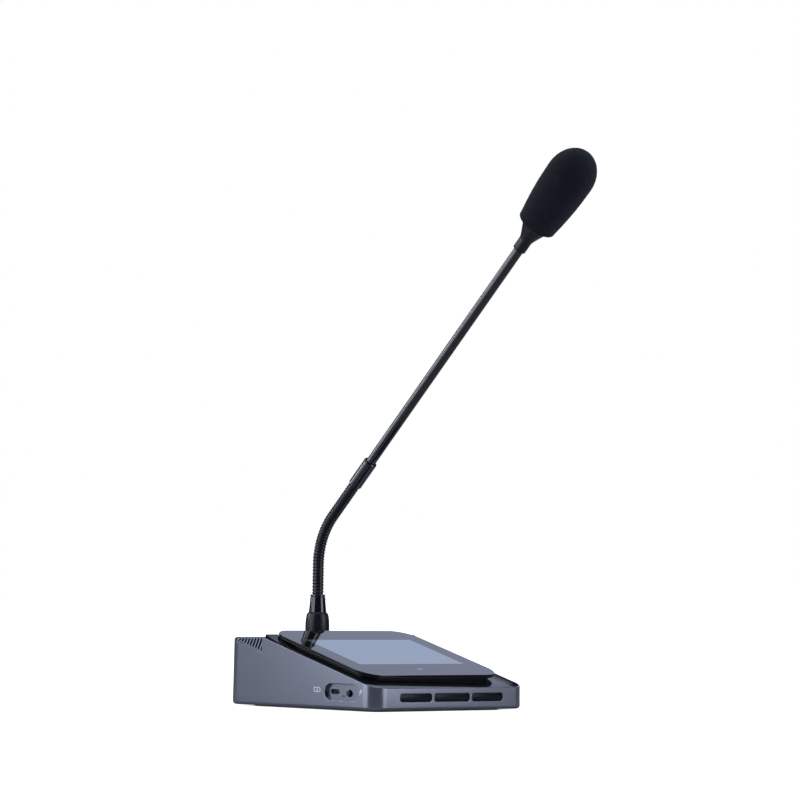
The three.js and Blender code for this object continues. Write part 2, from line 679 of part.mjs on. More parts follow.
function underside() {
  const edge = WALL + SEAT_GAP;
  const plateX = HALF_WIDTH - edge;
  const plateY = BASE_DEPTH / 2 - edge;
  const corner = CORNER_RADIUS - edge;
  const outline = roundedOutline(-plateX, plateX, -plateY, plateY, corner, corner);
  let plate = solidOf(slab(outline, SHELL_BOTTOM, BASE_PLATE_TOP));
  for (const [, x, y] of screwPlaces) {
    const hole = joined(
      solidOf(upright(SCREW_SHANK_RADIUS + SEAT_GAP, 0, BASE_PLATE_TOP + OVERRUN, x, y, SMALL_SIDES)),
      solidOf(upright(SCREW_HEAD_RADIUS + SEAT_GAP, 0, SHELL_BOTTOM + SCREW_HEAD_THICKNESS + SEAT_GAP, x, y,
        SMALL_SIDES)));
    plate = plate.subtract(hole);
  }
  for (const x of [boardLeft + STANDOFF_MARGIN, boardRight - STANDOFF_MARGIN]) {
    for (const y of [standoffBack, standoffFront]) {
      plate = plate.add(solidOf(
        upright(STANDOFF_RADIUS, SHELL_BOTTOM, BOARD_BOTTOM - SEAT_GAP, x, y, SMALL_SIDES)));
    }
  }
  for (const x of [-keyBoardEnd + BRACE_INSET, keyBoardEnd - BRACE_INSET]) {
    plate = plate.add(solidOf(box(x - BRACE_WIDTH / 2, x + BRACE_WIDTH / 2, keyBoardBack + SEAT_GAP,
      keyBoardBack + SEAT_GAP + BRACE_DEPTH, SHELL_BOTTOM, keyBoardTop - BRACE_DROP)));
  }
  place('base_plate', plate, 'steel');

  const padX = HALF_WIDTH - PAD_MARGIN;
  const padY = BASE_DEPTH / 2 - PAD_MARGIN;
  const padOutline = roundedOutline(-padX, padX, -padY, padY, PAD_RADIUS, PAD_RADIUS);
  place('antislip_pad', slab(padOutline, 0, PAD_THICKNESS), 'rubber');

  for (const [corner, x, y] of screwPlaces) {
    const screw = turned([
      [0, SHELL_BOTTOM],
      [SCREW_HEAD_RADIUS, SHELL_BOTTOM],
      [SCREW_HEAD_RADIUS, SHELL_BOTTOM + SCREW_HEAD_THICKNESS],
      [SCREW_SHANK_RADIUS, SHELL_BOTTOM + SCREW_HEAD_THICKNESS],
      [SCREW_SHANK_RADIUS, SHELL_BOTTOM + SCREW_SHANK_LENGTH],
      [0, SHELL_BOTTOM + SCREW_SHANK_LENGTH],
    ], SMALL_SIDES).translate(x, y, 0);
    const slot = box(x - SCREW_HEAD_RADIUS, x + SCREW_HEAD_RADIUS, y - SCREW_SLOT_WIDTH / 2,
      y + SCREW_SLOT_WIDTH / 2, SHELL_BOTTOM - OVERRUN, SHELL_BOTTOM + SCREW_SLOT_DEPTH);
    place(`base_screw_${corner}`, solidOf(screw).subtract(solidOf(slot)), 'steel');
  }
}

// Depths behind the front face, from the key's ears to the board that carries the switches
const earFront = FRONT_Y + WALL + SEAT_GAP;
const earBack = earFront + KEY_EAR_THICKNESS;
const keyBossBack = earBack + KEY_BOSS_LENGTH;
const switchStemFront = keyBossBack + SEAT_GAP;
const switchFront = switchStemFront + STEM_REACH;
const switchBack = switchFront + SWITCH_DEPTH;
const keyBoardFront = switchBack + SEAT_GAP;
const keyBoardBack = keyBoardFront + BOARD_THICKNESS;
const keyBoardEnd = keyRowEnd + KEY_BOARD_OVERHANG;
const keyBoardTop = keyHigh + KEY_BOARD_MARGIN;

function frontKeys() {
  for (const [side, left, right] of keySpans) {
    const middle = (left + right) / 2;
    const low = keyLow + SEAT_GAP;
    const high = keyHigh - SEAT_GAP;
    const corner = KEY_SLOT_RADIUS - SEAT_GAP;
    const cap = solidOf(towardsFront(
      roundedOutline(left + SEAT_GAP, right - SEAT_GAP, low, high, corner, corner),
      FRONT_Y + KEY_SINK, earBack));
    const ears = solidOf(box(left - KEY_EAR, right + KEY_EAR, earFront, earBack,
      low + KEY_SLOT_RADIUS, high - KEY_SLOT_RADIUS));
    const boss = solidOf(box(middle - KEY_BOSS_WIDTH / 2, middle + KEY_BOSS_WIDTH / 2,
      earFront, keyBossBack, KEY_ROW_HEIGHT - KEY_BOSS_HEIGHT / 2, KEY_ROW_HEIGHT + KEY_BOSS_HEIGHT / 2));
    place(`key_${side}`, joined(cap, ears, boss), 'black');

    const stem = new THREE.CylinderGeometry(STEM_RADIUS, STEM_RADIUS, STEM_LENGTH, SMALL_SIDES);
    stem.translate(middle, switchStemFront + STEM_LENGTH / 2, KEY_ROW_HEIGHT);
    place(`switch_stem_${side}`, stem, 'rubber');

    const reach = SWITCH_SIZE / 2;
    const housing = solidOf(box(middle - reach, middle + reach, switchFront, switchBack,
      KEY_ROW_HEIGHT - reach, KEY_ROW_HEIGHT + reach));
    const wellDepth = STEM_LENGTH - STEM_REACH + KEY_TRAVEL + SEAT_GAP;
    const well = new THREE.CylinderGeometry(STEM_RADIUS + SEAT_GAP, STEM_RADIUS + SEAT_GAP,
      2 * wellDepth, SMALL_SIDES).translate(middle, switchFront, KEY_ROW_HEIGHT);
    place(`switch_${side}`, housing.subtract(solidOf(well)), 'black');
  }
  place('key_board', box(-keyBoardEnd, keyBoardEnd, keyBoardFront, keyBoardBack,
    BASE_PLATE_TOP + KEY_BOARD_LIFT, keyBoardTop), 'board');
}

// The audio jack is taller than the USB socket, and both hang under the main board
const jackHeight = BOARD_BOTTOM - SEAT_GAP - JACK_RADIUS;
const usbHeight = BOARD_BOTTOM - SEAT_GAP - USB_HEIGHT / 2;

function usbOutline(spread) {
  const reach = USB_WIDTH / 2 + spread;
  const tall = USB_HEIGHT / 2 + spread;
  return roundedOutline(-USB_Y - reach, -USB_Y + reach,
    usbHeight - tall, usbHeight + tall, tall, tall);
}

function sideways(radius, fromX, toX, y, height, sides = SMALL_SIDES) {
  const geometry = new THREE.CylinderGeometry(radius, radius, toX - fromX, sides).rotateZ(Math.PI / 2);
  return geometry.translate((fromX + toX) / 2, y, height);
}

function ports() {
  const ringOuter = -HALF_WIDTH + WALL + SEAT_GAP;
  const plate = solidOf(towardsLeft(portOutline(PORT_FLANGE), portPanelInner, ringOuter));
  const hollow = solidOf(towardsLeft(portOutline(0), portPanelOuter, ringOuter - OVERRUN));
  const usbHole = solidOf(towardsLeft(usbOutline(SEAT_GAP), portPanelInner + OVERRUN, ringOuter - OVERRUN));
  const jackHole = solidOf(sideways(JACK_RADIUS + SEAT_GAP, ringOuter - OVERRUN, portPanelInner + OVERRUN,
    JACK_Y, jackHeight, ROUND_SIDES));
  const pinhole = solidOf(sideways(PINHOLE_RADIUS, ringOuter - OVERRUN, portPanelInner + OVERRUN,
    PINHOLE_Y, PORT_ROW_HEIGHT - PINHOLE_DROP));
  const underSkin = solidOf(acrossWidth(sideProfile(DECK_RECESS + SKIN + SEAT_GAP, WALL)));
  const panel = cutFrom(plate, hollow, usbHole, jackHole, pinhole).intersect(underSkin);
  place('port_panel', panel, 'slate');

  const usbBack = portPanelOuter + USB_LENGTH;
  const can = solidOf(towardsLeft(usbOutline(0), usbBack, portPanelOuter));
  const canHollow = solidOf(
    towardsLeft(usbOutline(-USB_WALL), usbBack - USB_WALL, portPanelOuter - OVERRUN));
  place('usb_socket', can.subtract(canHollow), 'steel');

  const blockInset = USB_WALL + SEAT_GAP;
  const blockBack = usbBack - blockInset;
  const block = solidOf(towardsLeft(usbOutline(-blockInset), blockBack, blockBack - TONGUE_BLOCK));
  const tongue = solidOf(box(portPanelOuter + TONGUE_SETBACK, blockBack, USB_Y - TONGUE_WIDTH / 2,
    USB_Y + TONGUE_WIDTH / 2, usbHeight - TONGUE_THICKNESS / 2, usbHeight + TONGUE_THICKNESS / 2));
  place('usb_tongue', block.add(tongue), 'black');

  const jackBody = solidOf(box(portPanelInner + SEAT_GAP, portPanelInner + SEAT_GAP + JACK_BODY_LENGTH,
    JACK_Y - JACK_BODY_WIDTH / 2, JACK_Y + JACK_BODY_WIDTH / 2,
    jackHeight - JACK_RADIUS, jackHeight + JACK_RADIUS));
  const nose = solidOf(sideways(JACK_RADIUS, portPanelOuter, portPanelInner + JACK_BODY_WIDTH,
    JACK_Y, jackHeight, ROUND_SIDES));
  const bore = solidOf(sideways(JACK_BORE_RADIUS, portPanelOuter - OVERRUN,
    portPanelInner + JACK_BODY_LENGTH - WALL, JACK_Y, jackHeight));
  place('jack_socket', cutFrom(joined(jackBody, nose), bore), 'black');

  place('main_board', box(boardLeft, boardRight, boardBack - MAIN_BOARD_DEPTH, boardBack,
    BOARD_BOTTOM, BOARD_BOTTOM + BOARD_THICKNESS), 'board');

  const reachX = HALF_WIDTH - BATTERY_SIDE_MARGIN;
  const batteryLow = BASE_PLATE_TOP + SEAT_GAP;
  place('battery_pack', slab(roundedOutline(-reachX, reachX,
    standoffFront + STANDOFF_RADIUS + BATTERY_CLEARANCE, standoffBack - STANDOFF_RADIUS - BATTERY_CLEARANCE,
    BATTERY_RADIUS, BATTERY_RADIUS), batteryLow, batteryLow + BATTERY_THICKNESS), 'battery');
}

const ferruleLow = BULB_TOP + SEAT_GAP;
const ferruleTop = ferruleLow + FERRULE_LENGTH;
const nutTop = bossPlateLow - SEAT_GAP;

function neckSocket() {
  const swell = Array.from({ length: ARC_STEPS + 1 }, (_, step) => {
    const rise = step / ARC_STEPS;
    const widening = Math.sqrt(1 - rise * rise);
    return [BULB_SHOULDER_RADIUS + (BULB_RADIUS - BULB_SHOULDER_RADIUS) * widening,
      BULB_TOP - BULB_SWELL + BULB_SWELL * rise];
  });
  const bulb = solidOf(turned([[0, 0], [BULB_RADIUS, 0], ...swell, [0, BULB_TOP]]));
  const belowRamp = solidOf(acrossWidth(sideProfile(-SEAT_GAP, DECK_RUN)).translate(0, -NECK_Y, 0));
  const shankLow = nutTop - NUT_THICKNESS - SEAT_GAP;
  const shank = solidOf(upright(SHANK_RADIUS, shankLow, rampHeight(NECK_Y) + BULB_RADIUS));
  const bore = solidOf(upright(WIRE_BORE_RADIUS, 0, BULB_TOP + OVERRUN, 0, 0, SMALL_SIDES));
  const collar = cutFrom(joined(bulb.subtract(belowRamp), shank), bore);
  place('neck_collar', collar, 'neck').position.set(0, NECK_Y, 0);

  const nut = solidOf(upright(NUT_RADIUS, nutTop - NUT_THICKNESS, nutTop, 0, 0, NUT_SIDES))
    .subtract(solidOf(upright(SHANK_RADIUS + SEAT_GAP, 0, BULB_TOP, 0, 0)));
  place('neck_nut', nut, 'brass').position.set(0, NECK_Y, 0);

  const grooveTop = ferruleTop - FERRULE_RIM;
  const ferrule = turned([
    [WIRE_BORE_RADIUS, ferruleLow],
    [FERRULE_LOW_RADIUS, ferruleLow],
    [FERRULE_TOP_RADIUS, grooveTop - FERRULE_GROOVE],
    [FERRULE_TOP_RADIUS - FERRULE_GROOVE, grooveTop - FERRULE_GROOVE],
    [FERRULE_TOP_RADIUS - FERRULE_GROOVE, grooveTop],
    [FERRULE_TOP_RADIUS, grooveTop],
    [FERRULE_TOP_RADIUS, ferruleTop],
    [WIRE_BORE_RADIUS, ferruleTop],
    [WIRE_BORE_RADIUS, ferruleLow],
  ]);
  place('neck_ferrule', ferrule, 'neck').position.set(0, NECK_Y, 0);
}

// The neck climbs upright, bends forward and runs on straight to the sleeve
const neckStart = ferruleTop + SEAT_GAP;
const neckArcLength = NECK_BEND_RADIUS * LEAN_ANGLE;
const neckLength = NECK_UPRIGHT + neckArcLength + NECK_REACH;

function neckPoint(distance) {
  const angle = THREE.MathUtils.clamp((distance - NECK_UPRIGHT) / NECK_BEND_RADIUS, 0, LEAN_ANGLE);
  const before = Math.min(distance, NECK_UPRIGHT);
  const beyond = Math.max(distance - NECK_UPRIGHT - neckArcLength, 0);
  const forward = NECK_BEND_RADIUS * (1 - Math.cos(angle)) + beyond * Math.sin(LEAN_ANGLE);
  const climb = before + NECK_BEND_RADIUS * Math.sin(angle) + beyond * Math.cos(LEAN_ANGLE);
  return { y: NECK_Y - forward, z: neckStart + climb, angle };
}

// A ribbed hose with a bore: two rings of points a rib outside, one ring every few ribs inside
function ribbedHose(from, to) {
  const ribs = Math.round((to - from) / NECK_RIB_PITCH);
  const pitch = (to - from) / ribs;
  const rings = [{ distance: from, radius: NECK_VALLEY_RADIUS }];
  for (let rib = 0; rib < ribs; rib += 1) {
    rings.push({ distance: from + (rib + 1 / 2) * pitch, radius: NECK_RADIUS });
    rings.push({ distance: from + (rib + 1) * pitch, radius: NECK_VALLEY_RADIUS });
  }
  const boreSteps = Math.ceil(ribs / RIBS_PER_BORE_RING);
  for (let step = boreSteps; step >= 0; step -= 1) {
    rings.push({ distance: from + (to - from) * step / boreSteps, radius: NECK_BORE_RADIUS });
  }
  const positions = [];
  const indices = [];
  for (const { distance, radius } of rings) {
    const { y, z, angle } = neckPoint(distance);
    for (let side = 0; side < HOSE_SIDES; side += 1) {
      const turn = side / HOSE_SIDES * 2 * Math.PI;
      const across = radius * Math.sin(turn);
      positions.push(radius * Math.cos(turn), y + across * Math.cos(angle), z + across * Math.sin(angle));
    }
  }
  for (let ring = 0; ring < rings.length; ring += 1) {
    const start = ring * HOSE_SIDES;
    const above = (ring + 1) % rings.length * HOSE_SIDES;
    for (let side = 0; side < HOSE_SIDES; side += 1) {
      const next = (side + 1) % HOSE_SIDES;
      indices.push(start + side, start + next, above + next, start + side, above + next, above + side);
    }
  }
  const geometry = new THREE.BufferGeometry();
  geometry.setAttribute('position', new THREE.Float32BufferAttribute(positions, 3));
  geometry.setIndex(indices);
  geometry.computeVertexNormals();
  return geometry;
}

function bendableNeck() {
  place('neck_lower', ribbedHose(0, NECK_LOWER_LENGTH), 'neck');
  place('neck_upper', ribbedHose(NECK_LOWER_LENGTH + SEAT_GAP, neckLength), 'neck');
}

// Everything above the neck is drawn along the stem, from the sleeve's lower end
const armFrame = new THREE.Group();
const neckEnd = neckPoint(neckLength + SEAT_GAP);
armFrame.position.set(0, neckEnd.y, neckEnd.z);
armFrame.rotation.x = LEAN_ANGLE;
part.add(armFrame);
const holderLow = SLEEVE_LENGTH + TUBE_VISIBLE;
const foamLow = holderLow + HOLDER_LENGTH + SEAT_GAP;

function stemAndHead() {
  const tubeBore = TUBE_RADIUS + SEAT_GAP;
  const lowerStop = SLEEVE_LENGTH - TUBE_LOWER_SEAT;
  place('stem_sleeve', turned([
    [WIRE_BORE_RADIUS, 0],
    [SLEEVE_RADIUS - SLEEVE_BEVEL, 0],
    [SLEEVE_RADIUS, SLEEVE_BEVEL],
    [SLEEVE_RADIUS, SLEEVE_LENGTH - SLEEVE_BEVEL],
    [SLEEVE_RADIUS - SLEEVE_BEVEL, SLEEVE_LENGTH],
    [tubeBore, SLEEVE_LENGTH],
    [tubeBore, lowerStop],
    [WIRE_BORE_RADIUS, lowerStop],
    [WIRE_BORE_RADIUS, 0],
  ]), 'neck', armFrame);

  const tubeLow = lowerStop + SEAT_GAP;
  const tubeTop = holderLow + TUBE_UPPER_SEAT;
  place('stem_tube', turned([
    [TUBE_RADIUS - TUBE_WALL, tubeLow],
    [TUBE_RADIUS, tubeLow],
    [TUBE_RADIUS, tubeTop],
    [TUBE_RADIUS - TUBE_WALL, tubeTop],
    [TUBE_RADIUS - TUBE_WALL, tubeLow],
  ]), 'neck', armFrame);

  const holderTop = holderLow + HOLDER_LENGTH;
  const upperStop = tubeTop + SEAT_GAP;
  const flareLow = holderLow + HOLDER_STRAIGHT;
  const flare = Array.from({ length: ARC_STEPS }, (_, step) => {
    const share = step / ARC_STEPS;
    const widening = 1 - Math.cos(share * Math.PI / 2);
    return [HOLDER_RADIUS + (HOLDER_FLARE_RADIUS - HOLDER_RADIUS) * widening,
      flareLow + (holderTop - HOLDER_LIP - flareLow) * share];
  });
  place('capsule_holder', turned([
    [tubeBore, holderLow],
    [HOLDER_RADIUS, holderLow],
    ...flare,
    [HOLDER_FLARE_RADIUS, holderTop - HOLDER_LIP],
    [HOLDER_FLARE_RADIUS, holderTop],
    [WIRE_BORE_RADIUS, holderTop],
    [WIRE_BORE_RADIUS, upperStop],
    [tubeBore, upperStop],
    [tubeBore, holderLow],
  ]), 'black', armFrame);

  const capsuleLow = holderTop + SEAT_GAP;
  const capsuleTop = capsuleLow + CAPSULE_LENGTH;
  place('mic_capsule', turned([
    [0, capsuleLow],
    [CAPSULE_RADIUS, capsuleLow],
    [CAPSULE_RADIUS, capsuleTop - CAPSULE_DOME],
    [CAPSULE_RADIUS - CAPSULE_DOME / 2, capsuleTop - CAPSULE_DOME / 4],
    [0, capsuleTop],
  ], SMALL_SIDES), 'steel', armFrame);

  const boreRadius = CAPSULE_RADIUS + SEAT_GAP;
  const domeLow = foamLow + FOAM_SIDE_LENGTH;
  const dome = arcPoints(0, domeLow, FOAM_RADIUS, 0, Math.PI / 2, FOAM_DOME / FOAM_RADIUS);
  dome[dome.length - 1][0] = 0;
  place('windscreen', turned([
    [boreRadius, foamLow],
    [FOAM_LOW_RADIUS - FOAM_EDGE_RADIUS, foamLow],
    [FOAM_LOW_RADIUS, foamLow + FOAM_EDGE_RADIUS],
    ...dome,
    [0, capsuleTop + SEAT_GAP],
    [boreRadius, capsuleTop + SEAT_GAP],
    [boreRadius, foamLow],
  ]), 'foam', armFrame);
}

bodyShell();
deckPlate();
screenTray();
displayPanel();
grillePanel(-1, 'grille_left');
grillePanel(1, 'grille_right');
speaker(-1, 'left');
speaker(1, 'right');
underside();
frontKeys();
ports();
neckSocket();
bendableNeck();
stemAndHead();

export default part;
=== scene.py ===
# %% [markdown]
# # A conference microphone, dressed around its CAD frame
# A wedge shaped desk unit carries a floating touch screen, three push keys and two speakers.
# A bendable neck stands behind the screen and holds a stem with a foam covered capsule.
# The imported CAD model is the frame: it gives every size, and its bodies carry most pieces made here.
# Pieces are drawn in millimetres, as on a workshop drawing, and turned into metres at the end.

# %% Load the frame
from math import atan, atan2, cos, degrees, hypot, pi, radians, sin, sqrt

import bmesh
import bpy
from mathutils import Matrix, Vector, noise


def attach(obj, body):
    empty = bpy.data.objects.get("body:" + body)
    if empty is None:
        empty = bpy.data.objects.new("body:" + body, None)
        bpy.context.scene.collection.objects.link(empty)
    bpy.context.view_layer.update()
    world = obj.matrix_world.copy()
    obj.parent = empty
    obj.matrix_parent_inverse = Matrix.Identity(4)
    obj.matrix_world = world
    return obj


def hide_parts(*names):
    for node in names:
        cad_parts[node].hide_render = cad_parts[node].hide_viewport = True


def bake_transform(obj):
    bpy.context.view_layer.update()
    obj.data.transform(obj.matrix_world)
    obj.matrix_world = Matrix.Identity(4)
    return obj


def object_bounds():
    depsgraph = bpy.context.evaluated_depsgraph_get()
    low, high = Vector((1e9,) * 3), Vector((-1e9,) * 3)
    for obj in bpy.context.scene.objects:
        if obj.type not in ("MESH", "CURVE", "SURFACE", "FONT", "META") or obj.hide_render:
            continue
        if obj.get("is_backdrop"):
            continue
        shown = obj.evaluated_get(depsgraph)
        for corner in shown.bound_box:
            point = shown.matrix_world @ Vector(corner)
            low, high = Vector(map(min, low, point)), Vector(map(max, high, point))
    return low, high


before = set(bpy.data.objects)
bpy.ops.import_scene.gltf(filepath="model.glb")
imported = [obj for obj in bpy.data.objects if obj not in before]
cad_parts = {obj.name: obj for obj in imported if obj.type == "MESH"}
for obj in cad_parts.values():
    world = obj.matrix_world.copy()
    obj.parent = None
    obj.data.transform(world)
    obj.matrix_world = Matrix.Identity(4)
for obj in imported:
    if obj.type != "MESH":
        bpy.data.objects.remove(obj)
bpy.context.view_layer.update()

# %% [markdown]
# ## Three slanted frames
# The deck and the ramp behind the step both rise at 36 in 126.3, and the stem leans by 45 degrees.
# A screen is easier to draw flat and to tilt afterwards than to build from slanted corners, so each
# of these places gets a matrix that lays a flat drawing where it belongs.

# %% Sizes that several pieces share
MM = 0.001
GAP = 0.3
HALF_WIDTH, FRONT, REAR = 81.5, -83.0, 83.0
FRONT_HEIGHT, STEP_Y, STEP_HEIGHT = 17.7, 43.3, 12.0
SLOPE = 36 / 126.3
DECK_ANGLE = atan(SLOPE)
LEAN = radians(45)
RAMP_LOW = FRONT_HEIGHT + SLOPE * (STEP_Y - FRONT) - STEP_HEIGHT
NECK_Y = STEP_Y + 24.9


def at(x, y, z):
    return Matrix.Translation((x, y, z))


def turn(angle, axis):
    return Matrix.Rotation(angle, 4, axis)


def deck_height(y):
    return FRONT_HEIGHT + (y - FRONT) * SLOPE


def ramp_height(y):
    return RAMP_LOW + (y - STEP_Y) * SLOPE


ON_DECK = at(0, FRONT, FRONT_HEIGHT) @ turn(DECK_ANGLE, "X")
ON_RAMP = at(0, STEP_Y, RAMP_LOW) @ turn(DECK_ANGLE, "X")
print("deck slope in degrees:", round(degrees(DECK_ANGLE), 2))

# %% [markdown]
# ## Shaping helpers
# Most parts of such a unit are stamped, moulded or turned. A stamped or moulded part starts as one
# flat face whose corners are rounded, and is pulled into a slab. A turned part starts as half a
# section that is spun round its axis. Both are bmesh operators, so the script never lists faces.


# %% Flat faces, slabs and turned shapes
def rounded(bm, geom, size, segments, affect="EDGES"):
    bmesh.ops.bevel(bm, geom=geom, offset=size, offset_type="OFFSET", segments=segments, profile=0.5,
                    affect=affect, material=-1)


def sheet(left, right, front, back, radii, steps=12):
    """One flat face with round corners: one radius, or front left, front right, back left, back right."""
    radii = radii if isinstance(radii, tuple) else (radii,) * 4
    bm = bmesh.new()
    bmesh.ops.create_grid(bm, x_segments=1, y_segments=1, size=0.5)
    bmesh.ops.scale(bm, vec=(right - left, back - front, 1), verts=bm.verts)
    bmesh.ops.translate(bm, vec=((left + right) / 2, (front + back) / 2, 0), verts=bm.verts)
    corners = sorted(bm.verts, key=lambda v: (v.co.y, v.co.x))
    for size, corner in zip(radii, corners):
        rounded(bm, [corner], 0.9999 * size, steps, "VERTICES")
    bmesh.ops.remove_doubles(bm, verts=bm.verts, dist=0.001)
    return bm


def raised(bm):
    """Pulls a second skin out of an open sheet, and gives the points of that skin."""
    made = bmesh.ops.extrude_face_region(bm, geom=bm.faces[:])["geom"]
    return [v for v in made if isinstance(v, bmesh.types.BMVert)]


def pulled(bm, low, high):
    """A closed slab from a flat face, between two heights."""
    bmesh.ops.translate(bm, vec=(0, 0, low), verts=bm.verts)
    bmesh.ops.translate(bm, vec=(0, 0, high - low), verts=raised(bm))
    bmesh.ops.recalc_face_normals(bm, faces=bm.faces)
    return bm


def slab(left, right, front, back, low, high, radii, steps=12):
    return pulled(sheet(left, right, front, back, radii, steps), low, high)


def block(left, right, front, back, low, high):
    bm = bmesh.new()
    bmesh.ops.create_cube(bm, size=1)
    bmesh.ops.scale(bm, vec=(right - left, back - front, high - low), verts=bm.verts)
    middle = ((left + right) / 2, (front + back) / 2, (low + high) / 2)
    bmesh.ops.translate(bm, vec=middle, verts=bm.verts)
    return bm


def turned(profile, steps=64, ring=False):
    """A half section, spun round the Z axis. A ring's section closes on itself."""
    bm = bmesh.new()
    points = [bm.verts.new((radius, 0, height)) for radius, height in profile]
    pairs = list(zip(points, points[1:])) + ([(points[-1], points[0])] if ring else [])
    lines = [bm.edges.new(pair) for pair in pairs]
    bmesh.ops.spin(bm, geom=points + lines, cent=(0, 0, 0), axis=(0, 0, 1), dvec=(0, 0, 0),
                   angle=2 * pi, steps=steps, use_merge=True, use_duplicate=False)
    bmesh.ops.remove_doubles(bm, verts=bm.verts, dist=0.0005)
    bmesh.ops.recalc_face_normals(bm, faces=bm.faces)
    return bm


def moved(bm, matrix):
    bmesh.ops.transform(bm, matrix=matrix, verts=bm.verts)
    return bm


def bar(length, width, low, high, steps):
    """A slab with round ends, round the origin."""
    return slab(-length / 2, length / 2, -width / 2, width / 2, low, high, width / 2, steps=steps)


def rod(radius, low, high, x=0.0, y=0.0, steps=48):
    return moved(turned([(0, low), (radius, low), (radius, high), (0, high)], steps), at(x, y, 0))


def across(points, reach):
    """A side view, drawn as depth and height, pulled out to both sides."""
    bm = bmesh.new()
    bm.faces.new([bm.verts.new((y, z, 0)) for y, z in points])
    return moved(pulled(bm, -reach, reach), Matrix(((0, 0, 1, 0), (1, 0, 0, 0), (0, 1, 0, 0), (0, 0, 0, 1))))


# Drawings for the left wall are distance forward and height, those for the front width and height
ON_LEFT = Matrix(((0, 0, -1, 0), (-1, 0, 0, 0), (0, 1, 0, 0), (0, 0, 0, 1)))
ON_FRONT = Matrix(((1, 0, 0, 0), (0, 0, -1, 0), (0, 1, 0, 0), (0, 0, 0, 1)))

# %% [markdown]
# ## Cutting
# Slots, recesses and sockets are cut the way a mill does it: a tool is pushed into the blank.
# Blender's Boolean modifier does that. It is applied at once, so only the finished blank is left.


# %% Joining and cutting
def as_mesh(name, bm):
    mesh = bpy.data.meshes.new(name)
    bm.to_mesh(mesh)
    bm.free()
    return mesh


def in_scene(name, data):
    made = bpy.data.objects.new(name, data)
    bpy.context.scene.collection.objects.link(made)
    return made


def worked(blank, operation, *tools):
    """The blank after the tools have been taken out of it, joined to it, or kept as its limit."""
    blank, *tools = [in_scene("shop", as_mesh("shop", part)) for part in (blank, *tools)]
    for tool in tools:
        step = blank.modifiers.new("step", "BOOLEAN")
        step.operation, step.solver, step.object = operation, "EXACT", tool
    view = bpy.context.evaluated_depsgraph_get()
    bm = bmesh.new()
    bm.from_mesh(blank.evaluated_get(view).to_mesh())
    for thing in (blank, *tools):
        mesh = thing.data
        bpy.data.objects.remove(thing)
        bpy.data.meshes.remove(mesh)
    bmesh.ops.remove_doubles(bm, verts=bm.verts, dist=0.004)
    bmesh.ops.dissolve_degenerate(bm, edges=bm.edges, dist=0.002)
    return bm


def cut(blank, *tools):
    return worked(blank, "DIFFERENCE", *tools)


def joined(blank, *others):
    return worked(blank, "UNION", *others)


def gathered(parts):
    """Several separate solids in one bmesh."""
    whole = bmesh.new()
    for part in parts:
        mesh = as_mesh("part", part)
        whole.from_mesh(mesh)
        bpy.data.meshes.remove(mesh)
    return whole


# %% [markdown]
# ## From drawing to piece
# A finished piece is in metres, has its place in its mesh, and rides on a CAD body. Real edges are
# never sharp: a small bevel catches a thin line of light, and weighted normals keep the faces beside
# it flat. That is cheaper and cleaner than modelling each fillet by hand.


# %% Finishing a piece
def piece(name, bm, finish, body, stands_for=(), place=None, bevel=0.0, sharp=35):
    if place is not None:
        moved(bm, place)
    bmesh.ops.scale(bm, vec=(MM, MM, MM), verts=bm.verts)
    mesh = as_mesh(name, bm)
    made = in_scene(name, mesh)
    mesh.materials.append(finish)
    mesh.shade_smooth()
    if bevel:
        edge = made.modifiers.new("soft edges", "BEVEL")
        edge.width, edge.segments, edge.profile = bevel * MM, 3, 0.5
        edge.limit_method, edge.angle_limit = "ANGLE", radians(sharp)
        edge.use_clamp_overlap = False
        made.modifiers.new("even light", "WEIGHTED_NORMAL").keep_sharp = True
    else:
        mesh.set_sharp_from_angle(angle=radians(sharp))
    if body:
        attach(made, body)
    if stands_for:
        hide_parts(*stands_for)
    print(name, "faces:", len(mesh.polygons))
    return made


# %% [markdown]
# ## Building materials from nodes
# Every finish is a small node tree. These helpers place a node and set or link its inputs. Effects
# that several finishes share are node groups, built once, with their own named inputs.


# %% Node helpers
def plug(node, **inputs):
    """Sets or links inputs: Base_Color is the input called Base Color, and i7 is inputs[7]."""
    for key, value in inputs.items():
        target = node.inputs[int(key[1:]) if key[1:].isdigit() else key.replace("_", " ")]
        if isinstance(value, bpy.types.NodeSocket):
            node.id_data.links.new(value, target)
        else:
            target.default_value = value
    return node


def add(tree, kind, settings=None, **inputs):
    """A new node. The caller gets its outputs."""
    made = tree.nodes.new("ShaderNode" + kind)
    for key, value in (settings or {}).items():
        setattr(made, key, value)
    return plug(made, **inputs).outputs


def use(tree, group, **inputs):
    made = tree.nodes.new("ShaderNodeGroup")
    made.node_tree = group
    return plug(made, **inputs).outputs


def sums(tree, operation, first, second=0.0, clamp=False):
    return add(tree, "Math", {"operation": operation, "use_clamp": clamp}, i0=first, i1=second)[0]


def times(tree, first, second):
    return sums(tree, "MULTIPLY", first, second)


def vectors(tree, operation, **inputs):
    return add(tree, "VectorMath", {"operation": operation}, **inputs)


def scaled(tree, vector, factor):
    return vectors(tree, "SCALE", i0=vector, Scale=factor)[0]


def blended(tree, amount, first, second):
    """The first colour where the amount is 0, and the second where it is 1."""
    return add(tree, "Mix", {"data_type": "RGBA"}, i0=amount, i6=first, i7=second)[2]


def eased(tree, value, low, high, first=0.0, last=1.0):
    """A soft step from the first result to the last, as the value goes from low to high."""
    return add(tree, "MapRange", {"interpolation_type": "SMOOTHSTEP"}, Value=value, i1=low, i2=high,
               i3=first, i4=last)[0]


